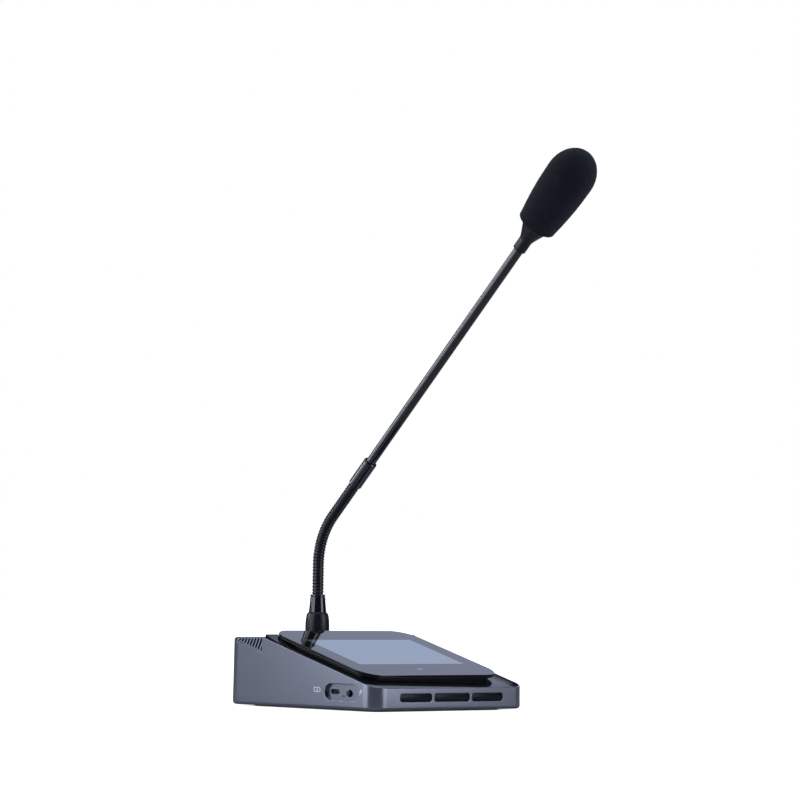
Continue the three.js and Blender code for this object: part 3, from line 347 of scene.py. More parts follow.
def effect(name, inputs, outputs):
    """An empty node group, with its inputs to read from and the node that its results go to."""
    tree = bpy.data.node_groups.new(name, "ShaderNodeTree")
    for label, value in inputs.items():
        kind = {3: "Vector", 4: "Color"}[len(value)] if isinstance(value, tuple) else "Float"
        made = tree.interface.new_socket(name=label, in_out="INPUT", socket_type="NodeSocket" + kind)
        made.default_value = value
    for label, kind in outputs.items():
        tree.interface.new_socket(name=label, in_out="OUTPUT", socket_type="NodeSocket" + kind)
    return tree, tree.nodes.new("NodeGroupInput").outputs, tree.nodes.new("NodeGroupOutput")


# %% [markdown]
# ## Effect: surface grain
# Blasted metal, moulded plastic and rubber all have a skin of tiny bumps. The same group makes
# each of them: fine noise gives the bumps, and a slow cloud gives the uneven tone of a real part.
# Height feeds a Bump node in the material, and Colour and Roughness come out slightly uneven.

# %% The grain group
grain, enters, leaves = effect(
    "surface grain",
    {"Grain per metre": 3000.0, "Clouds per metre": 30.0, "Colour": (0.5, 0.5, 0.5, 1.0),
     "Unevenness": 0.06, "Roughness": 0.4, "Roughness spread": 0.06},
    {"Colour": "Color", "Roughness": "Float", "Height": "Float"})
spot = add(grain, "TexCoord")["Object"]
fine = add(grain, "TexNoise", Vector=spot, Scale=enters["Grain per metre"], Detail=3.0, Roughness=0.6)
cloud = add(grain, "TexNoise", Vector=spot, Scale=enters["Clouds per metre"], Detail=4.0, Roughness=0.55)
both = sums(grain, "ADD", times(grain, cloud["Fac"], 0.7), times(grain, fine["Fac"], 0.3))
centred = times(grain, sums(grain, "SUBTRACT", both, 0.5), 4.0)
shift = sums(grain, "ADD", 1.0, times(grain, centred, enters["Unevenness"]))
spread = times(grain, centred, enters["Roughness spread"])
plug(leaves, Colour=scaled(grain, enters["Colour"], shift), Height=fine["Fac"],
     Roughness=sums(grain, "ADD", enters["Roughness"], spread, clamp=True))
print("grain group inputs:", [s.name for s in enters if s.name])


# %% A finish that is built on the grain group
def plain_material(name):
    material = bpy.data.materials.new(name)
    material.use_nodes = True
    return material, material.node_tree, material.node_tree.nodes["Principled BSDF"]


def grained(name, colour, roughness, metallic=0.0, fine_scale=3000.0, clouds=30.0, unevenness=0.06,
            roughness_spread=0.06, bump=0.1, depth_mm=0.02, coat=0.0, specular=0.5):
    material, tree, shader = plain_material(name)
    skin = use(tree, grain, Grain_per_metre=fine_scale, Clouds_per_metre=clouds, Colour=(*colour, 1.0),
               Unevenness=unevenness, Roughness=roughness, Roughness_spread=roughness_spread)
    relief = add(tree, "Bump", Height=skin["Height"], Strength=bump, Distance=depth_mm * MM)
    plug(shader, Base_Color=skin["Colour"], Roughness=skin["Roughness"], Normal=relief[0],
         Metallic=metallic, Coat_Weight=coat, Specular_IOR_Level=specular)
    return material


def overprint(material, mask, colour):
    """Lays a second colour over a grained finish where the mask is 1, and gives the shader."""
    tree = material.node_tree
    shader = tree.nodes["Principled BSDF"]
    skin = shader.inputs["Base Color"].links[0].from_socket
    return plug(shader, Base_Color=blended(tree, mask, skin, (*colour, 1)))


# %% [markdown]
# ## The plain finishes
# Slate is blasted and anodised aluminium: a bluish grey metal whose satin skin blurs what it
# reflects. Gloss is polished black acrylic, which mirrors at a low angle. The stem is lacquered
# steel. The grain differs too, from fine ink to coarse cloth, rubber and cone paper.

# %% Plain finishes
# The numbers: roughness, metallic, grains and clouds per metre, unevenness, spread of the roughness,
# bump and its depth in mm, then coat and specular where they differ from 0 and 0.5
slate = grained("satin slate metal", (0.200, 0.218, 0.279), 0.26, 0.92, 3200, 14, 0.03, 0.02, 0.08, 0.02)
gloss = grained("polished black acrylic", (0.004, 0.0045, 0.006),
                0.05, 0, 900, 22, 0.05, 0.03, 0.02, 0.005, 0, 0.22)
moulded = grained("moulded black plastic", (0.004, 0.0055, 0.011),
                  0.32, 0, 2600, 40, 0.08, 0.08, 0.1, 0.02, 0, 0.3)
key_black = grained("key black", (0.002, 0.0045, 0.010), 0.22, 0, 2600, 45, 0.08, 0.03, 0.06, 0.01, 0, 0.15)
lacquer = grained("black lacquered steel", (0.003, 0.004, 0.011),
                  0.1, 0, 3600, 35, 0.04, 0.02, 0, 0.005, 0.3)
wound_black = grained("black wound wire", (0.0025, 0.0035, 0.010),
                      0.26, 0, 3600, 35, 0.08, 0.03, 0.02, 0.01, 0, 0.4)
soft_black = grained("soft black collar", (0.004, 0.005, 0.011),
                     0.36, 0, 3000, 50, 0.08, 0.05, 0.04, 0.02, 0, 0.3)
# The dust cloth is black as a real cloth is, and it also stands in for the shade behind the grille slots.
cloth = grained("black dust cloth and painted slot shade", (0.006, 0.006, 0.007), 0.95, 0, 1800, 40, 0.2, 0.04, 0.5, 0.05, 0, 0.1)
rubber = grained("anti-slip rubber", (0.012, 0.012, 0.014), 0.85, 0, 1500, 25, 0.15, 0.1, 0.7, 0.1)
steel = grained("plain steel", (0.42, 0.43, 0.45), 0.36, 1, 1400, 20, 0.06, 0.12, 0.15, 0.03)
# The socket can's nickel is drawn much darker than plain steel: painted shade inside the socket.
nickel = grained("nickel with painted socket shade", (0.10, 0.105, 0.12), 0.36, 1, 1400, 20, 0.06, 0.12, 0.15, 0.03)
brass = grained("turned brass", (0.55, 0.39, 0.14), 0.32, 1, 1400, 30, 0.08, 0.12, 0.12, 0.03)
cone_paper = grained("speaker cone paper", (0.022, 0.022, 0.024), 0.88, 0, 1200, 160, 0.25, 0.1, 0.6, 0.08)
shrink_film = grained("battery shrink film", (0.03, 0.11, 0.30), 0.32, 0, 400, 60, 0.08, 0.15, 0.3, 0.1, 0.4)
ink = grained("printed white ink", (0.62, 0.66, 0.74), 0.5, 0, 4000, 200, 0.08, 0.08, 0.05, 0.01)
print("finishes so far:", len(bpy.data.materials))

# %% [markdown]
# ## The housing
# The housing is a cast or milled shell: a rounded block with a slight draft, cut off by the
# sloping deck, a step and the ramp behind it. The block is beveled at its foot, the top is cut
# with one wide tool, and the inside, the bosses, the recesses and the slots follow as tools too.

# %% The housing's blank
WALL, SKIN, FOOT, DRAFT = 2.4, 2.0, 1.1, 0.5
TOP = deck_height(STEP_Y) + STEP_HEIGHT
block_solid = slab(-HALF_WIDTH, HALF_WIDTH, FRONT, REAR, FOOT, TOP, 13, steps=16)
foot_edges = [e for e in block_solid.edges if all(v.co.z < FOOT + 0.01 for v in e.verts)]
rounded(block_solid, foot_edges, 2.6, 6)
roof = [v for v in block_solid.verts if v.co.z > TOP - 0.01]
bmesh.ops.scale(block_solid, vec=(1 - DRAFT / HALF_WIDTH, 1 - DRAFT / REAR, 1), verts=roof)


def above(drop, step_inset):
    """The space over the deck, the step and the ramp, lowered square to the slope by a drop."""
    sink = drop / cos(DECK_ANGLE)
    front, back, step = FRONT - 6, REAR + 6, STEP_Y - step_inset
    return across([(front, deck_height(front) - sink), (step, deck_height(step) - sink),
                   (step, ramp_height(step) - sink), (back, ramp_height(back) - sink),
                   (back, TOP + 6), (front, TOP + 6)], HALF_WIDTH + 6)


outer = cut(block_solid, above(0, 0))
print("housing blank:", len(outer.faces), "faces")

# %% The housing's inside, with the bosses left standing
DECK_RECESS, GRILLE_RECESS = 2.3, 1.9
SCREWS = [(x, y) for x in (-71, 71) for y in (-72.5, 72.5)]
BOSS_LOW = ramp_height(NECK_Y - 12) - (DECK_RECESS + SKIN) / cos(DECK_ANGLE) - 0.6
inside = slab(-HALF_WIDTH + WALL, HALF_WIDTH - WALL, FRONT + WALL, REAR - WALL, -4, TOP + 4, 10.6)
cavity = cut(inside, above(DECK_RECESS + SKIN, WALL), rod(12, BOSS_LOW, TOP + 8, 0, NECK_Y),
             gathered([rod(4, 3.4, TOP + 8, x, y, 24) for x, y in SCREWS]))

# %% Key slots, port opening, recesses and mouths
KEY_LOW, KEY_HIGH = 7.6, 13.8
KEYS = {"left": (-54.7, -21.5), "middle": (-18.7, 18.7), "right": (21.5, 54.7)}
PORT_Y, PORT_Z = -46.6, deck_height(-46.6) - 14.18
PORT = (PORT_Y, PORT_Z, 35.5, 12.6)
GRILLE_INNER, GRILLE_OUTER, GRILLE_FRONT, GRILLE_BACK = 14, 79.9, 1.6, 39.68
SPEAKER_X, SPEAKER_Y = (GRILLE_OUTER + GRILLE_INNER) / 2, (GRILLE_FRONT + GRILLE_BACK) / 2
RIBBON_SLOT = (-9.3, 9.3, 75.15, 80.15)


def pill(y, z, length, height, outer_x, inner_x, spread=0.0, steps=12):
    """A slab with round ends in the left wall, between two depths."""
    reach, tall = length / 2 + spread, height / 2 + spread
    return moved(slab(-y - reach, -y + reach, z - tall, z + tall, -inner_x, -outer_x, tall, steps=steps),
                 ON_LEFT)


def grille_slab(side, low, high, inset):
    """A grille's outline: three small corners, and a large one that follows the housing's rear corner."""
    left, right = sorted((side * (GRILLE_INNER + inset), side * (GRILLE_OUTER - inset)))
    small, large = 4.5 - inset, 11.4 - inset
    corners = (small, small, large, small) if side < 0 else (small, small, small, large)
    return slab(left, right, GRILLE_FRONT + inset, GRILLE_BACK - inset, low, high, corners, steps=10)


key_slots = [moved(slab(*sides, KEY_LOW, KEY_HIGH, -FRONT - WALL - 2, -FRONT + 2, 2.2, 6), ON_FRONT)
             for sides in KEYS.values()]
port_slot = pill(*PORT, -HALF_WIDTH - 2, -HALF_WIDTH + WALL + 2)
deck_pocket = moved(slab(-79.9, 79.9, 1.6, 129.73, -DECK_RECESS, 6, (11.4, 11.4, 1.3, 1.3)), ON_DECK)
grille_pockets = [moved(grille_slab(side, -GRILLE_RECESS, 6, 0), ON_RAMP) for side in (-1, 1)]
mouths = [moved(rod(12.5, -12, 4, side * SPEAKER_X, SPEAKER_Y), ON_RAMP) for side in (-1, 1)]
bores = [rod(1.7, -2, 9.4, x, y, 24) for x, y in SCREWS]
ribbon_slot = moved(block(*RIBBON_SLOT, -7, 6), ON_DECK)
housing = cut(outer, cavity, deck_pocket, ribbon_slot, rod(6.3, 0, TOP + 4, 0, NECK_Y), port_slot,
              gathered(key_slots), gathered(grille_pockets), gathered(mouths), gathered(bores))
piece("housing", housing, slate, "base", ["body_shell"], bevel=0.45, sharp=40)

# %% [markdown]
# ## The deck plate
# A moulded sheet of glossy black lies flush in the housing's rim, with a hairline seam round it. It
# rises a little behind the screen, and its margins aren't quite flat, so they mirror other parts of
# the room than the screen does. A grid gives that surface, with its height as a formula of the
# place. It is trimmed to the outline as by a punch, and the room for tray and bezel is cut out last.

# %% Deck plate
# Plans are left, right, front and back
TRAY, GLASS = (-68.2, 68.2, 22, 125.4), (-72.2, 72.2, 18, 133.4)
SHEET_RIGHT, SHEET_FRONT, SHEET_BACK = 79.6, 1.9, 129.43
LIP, LIP_REACH, MARGIN = 2.4, 28.0, 12.0


def grown(plan, spread, low, high, radius, steps):
    """A slab on a plan that has grown by a spread on each side."""
    left, right, front, back = plan
    return slab(left - spread, right + spread, front - spread, back + spread, low, high, radius + spread,
                steps=steps)


def tray_slab(low, high, spread):
    return grown(TRAY, spread, low, high, 14, 16)


def bezel_slab(low, high, spread=0.0):
    return grown(GLASS, spread, low, high, 18, 24)


def share(value):
    return min(max(value, 0), 1)


def pan_height(x, along):
    """The front margin falls towards the edge, the right one towards the tray, and the rear rises."""
    right = share((SHEET_RIGHT - x) / MARGIN)
    front = share((along - SHEET_FRONT) / MARGIN)
    rear = share((along - SHEET_BACK + LIP_REACH) / LIP_REACH)
    dip = 1.2 * share((x + 60) / 100)
    return LIP * rear ** 1.4 - dip * (1 - (1 - right) ** 1.5) - 0.5 * (1 - front) ** 2


def grid_sheet(xs, ys, height, low):
    """A blank whose top follows a height formula, over rows and columns at given places."""
    bm = bmesh.new()
    bmesh.ops.create_grid(bm, x_segments=len(xs) - 1, y_segments=len(ys) - 1, size=0.5)
    for v in bm.verts:
        x, y = xs[round((v.co.x + 0.5) * (len(xs) - 1))], ys[round((v.co.y + 0.5) * (len(ys) - 1))]
        v.co = (x, y, height(x, y))
    for v in raised(bm):
        v.co.z = low
    bmesh.ops.recalc_face_normals(bm, faces=bm.faces)
    return bm


columns = [-84, -60, 40] + [SHEET_RIGHT + 4 - step for step in range(18, -1, -1)]
rows = ([SHEET_FRONT - 3 + step for step in range(17)] + [70]
        + [SHEET_BACK - LIP_REACH + step for step in range(0, 32, 2)])
outline = slab(-SHEET_RIGHT, SHEET_RIGHT, SHEET_FRONT, SHEET_BACK, -3, 9, (11.1, 11.1, 1, 1), 16)
sheet_blank = worked(grid_sheet(columns, rows, pan_height, -2), "INTERSECT", outline)
plate = cut(sheet_blank, tray_slab(-4, 9, GAP), bezel_slab(1.4, 9, GAP))
piece("deck_sheet", plate, gloss, "base", ["deck_plate"], ON_DECK, sharp=30)

# %% [markdown]
# ## The screen
# The screen seems to float: a narrow tray stands on the deck, and a wider bezel on top of it
# carries the cover glass. The tray and bezel are one moulding, so two slabs are joined into one
# solid, and the pocket for the display is taken out of it.

# %% Tray and bezel
pocket = slab(-59.65, 59.65, 42.2, 113.1, -0.8, 3.3, 2, steps=6)
tray = cut(joined(tray_slab(-2, 3.0, 0), bezel_slab(1.7, 3.0)), pocket, block(*RIBBON_SLOT, -4, 6))
piece("screen_base", tray, moulded, "base", ["screen_tray"], ON_DECK, bevel=0.3)

# %% [markdown]
# ## Effect: rounded window
# The cover glass is one bonded sheet: black print round the edge, and the lit display behind the
# clear middle. A mask says which is which. It measures how far a point is from a rounded rectangle,
# in the deck's own flat millimetres, so it stays put on the piece however the piece moves. The home
# mark is a small round window of the same kind, where the photograph shows it.

# %% The window group
window, enters, leaves = effect(
    "rounded window",
    {"Place": (0.0, 0.0, 0.0), "Middle": (0.0, 0.0, 0.0), "Half size": (50.0, 30.0, 0.0), "Radius": 1.0,
     "Softness": 0.2}, {"Mask": "Float"})
offset = vectors(window, "SUBTRACT", i0=enters["Place"], i1=enters["Middle"])
folded = vectors(window, "ABSOLUTE", i0=offset[0])
beyond = vectors(window, "SUBTRACT", i0=folded[0], i1=enters["Half size"])
axes = add(window, "SeparateXYZ", Vector=beyond[0])
reach = [sums(window, "MAXIMUM", sums(window, "ADD", axis, enters["Radius"]), 0.0) for axis in axes[:2]]
squares = [times(window, side, side) for side in reach]
corner = sums(window, "SQRT", sums(window, "ADD", *squares))
distance = sums(window, "DIVIDE", sums(window, "SUBTRACT", enters["Radius"], corner), enters["Softness"])
plug(leaves, Mask=sums(window, "ADD", distance, 0.5, clamp=True))


# %% Cover glass with the lit display and the home mark
def cover_glass_finish():
    """The display glows and also mirrors like tinted metal, so the neck's reflection darkens it."""
    material, tree, shader = plain_material("bonded cover glass")
    spot = add(tree, "TexCoord")["Object"]
    flat = add(tree, "Mapping", {"vector_type": "TEXTURE"}, Vector=spot, Rotation=(DECK_ANGLE, 0, 0),
               Location=(0, FRONT * MM, FRONT_HEIGHT * MM), Scale=(MM, MM, MM))[0]
    lit = use(tree, window, Place=flat, Middle=(0, 77.65, 0), Half_size=(55.35, 31.15, 0), Radius=0.6,
              Softness=0.7)["Mask"]
    home = use(tree, window, Place=flat, Middle=(-4.2, 33.8, 0), Half_size=(2.2, 2.2, 0), Radius=2.2,
               Softness=0.5)["Mask"]
    smudges = use(tree, grain, Grain_per_metre=500.0, Clouds_per_metre=18.0, Unevenness=0.04,
                  Colour=(0.004, 0.0045, 0.006, 1.0), Roughness=0.035, Roughness_spread=0.03)
    backlight = add(tree, "TexNoise", Vector=spot, Scale=12.0, Detail=1.0)["Fac"]
    level = times(tree, lit, sums(tree, "ADD", 0.92, times(tree, backlight, 0.16)))
    glow = blended(tree, level, (0, 0, 0, 1), (0.040, 0.057, 0.082, 1))
    ground = blended(tree, home, smudges["Colour"], (0.155, 0.185, 0.26, 1))
    plug(shader, Base_Color=blended(tree, lit, ground, (0.24, 0.28, 0.30, 1)), Metallic=lit,
         Roughness=smudges["Roughness"], Emission_Color=glow, Emission_Strength=1.0)
    return material


piece("cover_glass", bezel_slab(3.3, 4.4), cover_glass_finish(), "base", ["touch_glass"], ON_DECK,
      bevel=0.3)

# %% [markdown]
# ## Speaker grilles
# Behind the step, two panels with slanted slots cover the speakers. The slots are milled, so their
# ends are round. One tool cuts them all: a comb of pill shaped bars, turned by 45 degrees, which is
# mirrored for the other side. A black dust cloth behind each panel keeps the slots dark: it is a
# real dust cloth, and it also stands in for the shade in the housing behind the slots.

# %% Grille panels
SLOT_WIDTH, RIB_PITCH, BORDER = 1.3, 3.2, 2.6


def slot_comb(side):
    left, right = -GRILLE_OUTER + BORDER, -GRILLE_INNER - BORDER
    front, back = GRILLE_FRONT + BORDER, GRILLE_BACK - BORDER
    bars = []
    start = left - (back - front) + RIB_PITCH
    while start < right:
        low, high = max(start, left), min(start + back - front, right)
        length = (high - low) * sqrt(2)
        if length >= 8:
            middle = (low + high) / 2
            place = at(-side * middle, front + middle - start, 0) @ turn(-side * pi / 4, "Z")
            bars.append(moved(bar(length, SLOT_WIDTH, -4, 4, 5), place))
        start += RIB_PITCH
    print("slots:", len(bars))
    return gathered(bars)


for side, ending in ((-1, "left"), (1, "right")):
    panel = cut(grille_slab(side, -1.6, 0, 1.0), slot_comb(side))
    piece("grille_panel_" + ending, panel, slate, "base", ["grille_" + ending], ON_RAMP, bevel=0.2)
    piece("grille_cloth_" + ending, grille_slab(side, -1.85, -1.62, GAP), cloth, "base", place=ON_RAMP)

# %% [markdown]
# ## Push keys
# Three black keys sit in slots in the front wall. A key is a cap with rounded edges, two thin ears
# that stop it from falling out, and a boss that presses the switch. The ears and the boss are plain
# blocks joined to the cap, and the whole key rides on its own body, so it can be pressed.

# %% Keys
EAR_FRONT = FRONT + WALL + GAP
for ending, (left, right) in KEYS.items():
    cap = slab(left + GAP, right - GAP, KEY_LOW + GAP, KEY_HIGH - GAP, -EAR_FRONT - 1, -FRONT - 0.7, 1.9, 8)
    moved(cap, ON_FRONT)
    rim = [e for e in cap.edges if all(v.co.y < FRONT + 0.71 for v in e.verts)]
    rounded(cap, rim, 0.6, 4)
    ears = block(left - 0.9, right + 0.9, EAR_FRONT, EAR_FRONT + 1, KEY_LOW + 2.5, KEY_HIGH - 2.5)
    middle = (left + right) / 2
    boss = block(middle - 2.5, middle + 2.5, EAR_FRONT + 0.5, EAR_FRONT + 2.6, 9.2, 12.2)
    key = "key_" + ending
    piece("push_" + key, joined(cap, ears, boss), key_black, key, [key])

# %% [markdown]
# ## Ports on the left wall
# A pill shaped opening shows a recessed floor with a USB-C socket, a pinhole and a round audio
# jack. The floor is the face of a ringed plate behind the wall. The socket is a folded steel can,
# so it is an outline pulled deep and hollowed, and its tongue carries small plated contacts.

# %% Port floor
FLOOR_X, PLATE_X, RING_X = -78.5, -76.9, -78.8
USB_Y, USB_Z, JACK_Y, JACK_Z = -37.2, 14.195, -53.3, 13.325
USB, JACK = (USB_Y, USB_Z, 8.94, 3.26), (JACK_Y, JACK_Z)
TO_LEFT = turn(-pi / 2, "Y")


def sideways(radius, from_x, to_x, y, z, steps=32):
    return moved(rod(radius, -to_x, -from_x, steps=steps), at(0, y, z) @ TO_LEFT)


port_plate = cut(pill(*PORT, RING_X, PLATE_X, 1.4), above(DECK_RECESS + SKIN + GAP, WALL),
                 pill(*PORT, RING_X - 2, FLOOR_X),
                 pill(*USB, RING_X - 2, PLATE_X + 2, GAP, 8),
                 sideways(2.8, RING_X - 2, PLATE_X + 2, *JACK),
                 sideways(0.7, RING_X - 2, PLATE_X + 2, PORT_Y, PORT_Z - 2.7, 20))
piece("port_floor", port_plate, slate, "base", ["port_panel"], bevel=0.15)

# %% Sockets
# The can's nickel is darkened as painted shade inside the socket.
can = cut(pill(*USB, FLOOR_X, FLOOR_X + 7.4, 0, 8),
          pill(*USB, FLOOR_X - 2, FLOOR_X + 7.05, -0.35, 8))
piece("usb_can", can, nickel, "base", ["usb_socket"], bevel=0.08)

jack_box = block(PLATE_X + GAP, PLATE_X + GAP + 12, JACK_Y - 3, JACK_Y + 3, JACK_Z - 2.5, JACK_Z + 2.5)
jack = cut(joined(jack_box, sideways(2.5, FLOOR_X, PLATE_X + 6, *JACK)),
           sideways(1.8, FLOOR_X - 2, PLATE_X + GAP + 9.6, *JACK))
piece("jack_barrel", jack, moulded, "base", ["jack_socket"], bevel=0.15)

# %% [markdown]
# ## Effect: stripes
# Contacts on the tongue, the tracks of a ribbon cable and the tracks of a circuit board are all
# parallel strips. A stripe mask across one axis is enough for them, with a width and a pitch.

# %% The stripe group
stripes, enters, leaves = effect("stripes", {"Position": 0.0, "Pitch": 1.0, "Share": 0.5}, {"Mask": "Float"})
phase = sums(stripes, "FRACT", sums(stripes, "DIVIDE", enters["Position"], enters["Pitch"]))
plug(leaves, Mask=sums(stripes, "LESS_THAN", phase, enters["Share"]))


def striped(name, ground, stripe, axis, pitch_mm, roughness, metallic_stripe):
    """A grained finish whose other half is strips of a second colour, across one axis."""
    material = grained(name, ground, roughness, fine_scale=1500)
    tree = material.node_tree
    place = add(tree, "SeparateXYZ", Vector=add(tree, "TexCoord")["Object"])[axis]
    mask = use(tree, stripes, Position=place, Pitch=pitch_mm * MM, Share=0.5)["Mask"]
    plug(overprint(material, mask, stripe), Metallic=times(tree, mask, metallic_stripe))
    return material


# The contacts are drawn nearly black instead of bright plating: painted shade deep in the socket.
contacts = striped("tongue with contacts in painted shade", (0.01, 0.011, 0.014), (0.05, 0.055, 0.065),
                   "Y", 0.5, 0.5, 0.6)
ribbon_film = striped("ribbon film", (0.30, 0.12, 0.03), (0.45, 0.24, 0.08), "X", 1.0, 0.35, 0.3)
tongue = joined(pill(*USB, FLOOR_X + 4.55, FLOOR_X + 6.75, -0.65, 8),
                block(FLOOR_X + 1.2, FLOOR_X + 6, USB_Y - 3.35, USB_Y + 3.35, USB_Z - 0.35, USB_Z + 0.35))
piece("usb_tongue_body", tongue, contacts, "base", ["usb_tongue"], bevel=0.08)

# %% [markdown]
# ## Printed marks
# Two small whitish marks stand beside the ports. They are generic: a battery for charging and a
# microphone for the audio jack. Printing has almost no thickness, so each mark is made from thin
# slabs that lie on the wall, one with round ends for each stroke.

# %% Marks
DRAFT_LOW = 3.1


def stroke(x0, y0, x1, y1, width=0.4):
    """A pill shaped stroke between two points, drawn as distance forward and height."""
    length = hypot(x1 - x0, y1 - y0)
    return moved(bar(length + width, width, 0, 0.05, 4), at((x0 + x1) / 2, (y0 + y1) / 2, 0)
                 @ turn(atan2(y1 - y0, x1 - x0), "Z"))


def printed(name, strokes, y, z):
    x = -HALF_WIDTH + DRAFT * (z - DRAFT_LOW) / (TOP - DRAFT_LOW)
    lean = turn(atan(DRAFT / (TOP - DRAFT_LOW)), "Y")
    place = at(x, y, z) @ lean @ ON_LEFT
    return piece(name, gathered([stroke(*line) for line in strokes]), ink, "base", place=place)


battery = [(-3.4, 1.6, 2.6, 1.6), (-3.4, -1.6, 2.6, -1.6), (-3.4, -1.6, -3.4, 1.6), (2.6, -1.6, 2.6, 1.6),
           (3.4, -0.6, 3.4, 0.6, 0.5),
           (0.4, 1.1, -0.9, -0.1), (-0.9, -0.1, 0.6, 0.1), (0.6, 0.1, -0.5, -1.1)]
printed("charge_mark", battery, -20.5, 15.4)
microphone = [(0.1, 0.4, 0.9, 1.9, 1.1), (-1.5, -2.1, -0.35, -0.2), (-1.0, 1.0, -0.7, -0.4, 0.35),
              (-0.7, -0.4, 0.9, -0.6, 0.35)]
printed("voice_mark", microphone, -67.7, 14.4)

# %% [markdown]
# ## Collar, ferrule and neck
# The neck rises from a bulb that is clamped through the ramp. The bulb and the tapered ferrule on
# it are turned parts, so each is a spun section. The bulb's foot is cut to the ramp's slope with a
# plane, as by a saw, and the shank below reaches down to the nut.

# %% Collar and ferrule
BULB_TOP = ramp_height(NECK_Y) + 23.5
ARC = [step / 16 for step in range(17)]
swell = [(7.5 + 2 * sqrt(1 - rise * rise), BULB_TOP - 12 + 12 * rise) for rise in ARC]
bulb = turned([(0, 30), (9.5, 30), *swell, (0, BULB_TOP)], 80)
seat = Vector((0, 0, ramp_height(NECK_Y) + GAP / cos(DECK_ANGLE)))
slope_normal = Vector((0, -sin(DECK_ANGLE), cos(DECK_ANGLE)))
bmesh.ops.bisect_plane(bulb, geom=bulb.verts[:] + bulb.edges[:] + bulb.faces[:], plane_co=seat,
                       plane_no=slope_normal, clear_inner=True, clear_outer=False)
bmesh.ops.holes_fill(bulb, edges=[e for e in bulb.edges if e.is_boundary], sides=0)
collar = cut(joined(bulb, rod(6, BOSS_LOW - 5.6, BULB_TOP - 9)), rod(2.6, 0, BULB_TOP + 4, steps=32))
AT_NECK = at(0, NECK_Y, 0)
piece("collar_bulb", collar, soft_black, "base", ["neck_collar"], AT_NECK, bevel=0.15)

FERRULE_LOW = BULB_TOP + GAP
FERRULE_TOP = FERRULE_LOW + 13.6
ferrule = turned([(2.6, FERRULE_LOW - GAP), (6.95, FERRULE_LOW - GAP), (5.8, FERRULE_TOP - 1.9),
                  (5.3, FERRULE_TOP - 1.8), (5.3, FERRULE_TOP - 1.45), (5.8, FERRULE_TOP - 1.35),
                  (5.8, FERRULE_TOP), (2.6, FERRULE_TOP)], 80, ring=True)
piece("ferrule_turned", ferrule, lacquer, "base", ["neck_ferrule"], AT_NECK, bevel=0.14, sharp=25)

# %% [markdown]
# ## The bendable neck
# A gooseneck is two wires wound tightly over each other, so its skin is one long screw. A round
# wire section, spun with a rise per turn, gives the same screw, and a plain core fills the valleys.
# Both are made straight and laid along the neck's line, which stands upright and then leans by 45
# degrees. The lower and upper stretches belong to different joints, so they are two pieces.

# %% Neck windings
NECK_START = FERRULE_TOP + GAP
UPRIGHT, BEND, REACH = 23.7, 53.0, 34.6
ARC_LENGTH = BEND * LEAN
NECK_LENGTH = UPRIGHT + ARC_LENGTH + REACH
LOWER_LENGTH, PITCH = 14.6, 2.55


def on_neck(distance):
    """Where the neck's middle is, and how far it leans there."""
    angle = min(max((distance - UPRIGHT) / BEND, 0), LEAN)
    beyond = max(distance - UPRIGHT - ARC_LENGTH, 0)
    forward = BEND * (1 - cos(angle)) + beyond * sin(LEAN)
    climb = min(distance, UPRIGHT) + BEND * sin(angle) + beyond * cos(LEAN)
    return Vector((0, NECK_Y - forward, NECK_START + climb)), angle


def laid_on_neck(bm):
    """Bends a straight, upright winding along the neck."""
    for v in bm.verts:
        middle, angle = on_neck(v.co.z)
        v.co = middle + Vector((v.co.x, v.co.y * cos(angle), v.co.y * sin(angle)))
    return bm


def winding(low, high, wire=1.24, outer=4.5, per_turn=28):
    """A round wire wound on a core. All windings share one screw line, so two that meet look like one."""
    start, end = low - 1.5 * PITCH, high + 1.5 * PITCH
    turns = (end - start) / PITCH
    bm = bmesh.new()
    made = bmesh.ops.create_circle(bm, cap_ends=True, radius=wire, segments=12)["verts"]
    twist = turn(2 * pi * start / PITCH, "Z")
    place = twist @ at(outer - wire, 0, start) @ turn(pi / 2, "X")
    bmesh.ops.transform(bm, matrix=place, verts=made)
    steps = round(turns * per_turn)
    bmesh.ops.spin(bm, geom=bm.faces[:] + bm.edges[:] + bm.verts[:], cent=(0, 0, 0), axis=(0, 0, 1),
                   dvec=(0, 0, turns * PITCH / steps), angle=turns * 2 * pi, steps=steps,
                   use_merge=False, use_duplicate=False)
    bmesh.ops.recalc_face_normals(bm, faces=bm.faces)
    wire_cut = cut(bm, block(-9, 9, -9, 9, start - 5, low), block(-9, 9, -9, 9, high, end + 5))
    parts = round((high - low) / 2)
    heights = [low + (high - low) * n / parts for n in range(parts + 1)]
    core = turned([(4.05, z) for z in heights] + [(2.4, z) for z in reversed(heights)], 32, ring=True)
    return gathered([core, wire_cut])


stretches = (("neck_winding_lower", "neck_lower", 0, LOWER_LENGTH, ("base", "neck_mid")),
             ("neck_winding_upper", "neck_upper", LOWER_LENGTH + GAP, NECK_LENGTH, ("neck_mid", "arm")))
for name, node, low, high, (lower_body, upper_body) in stretches:
    reach = (low - GAP, LOWER_LENGTH + GAP / 2) if low == 0 else (LOWER_LENGTH + GAP / 2, high + GAP)
    wound = piece(name, laid_on_neck(winding(*reach)), wound_black, None)
    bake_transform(wound)
    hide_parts(node)

# %% [markdown]
# ## Stem
# Everything above the neck is drawn along the stem, from the sleeve's lower end. The sleeve joins
# the neck to a straight lacquered tube, and a flared holder carries the capsule and its foam. All
# are turned parts, with a thin bevel at each shoulder.

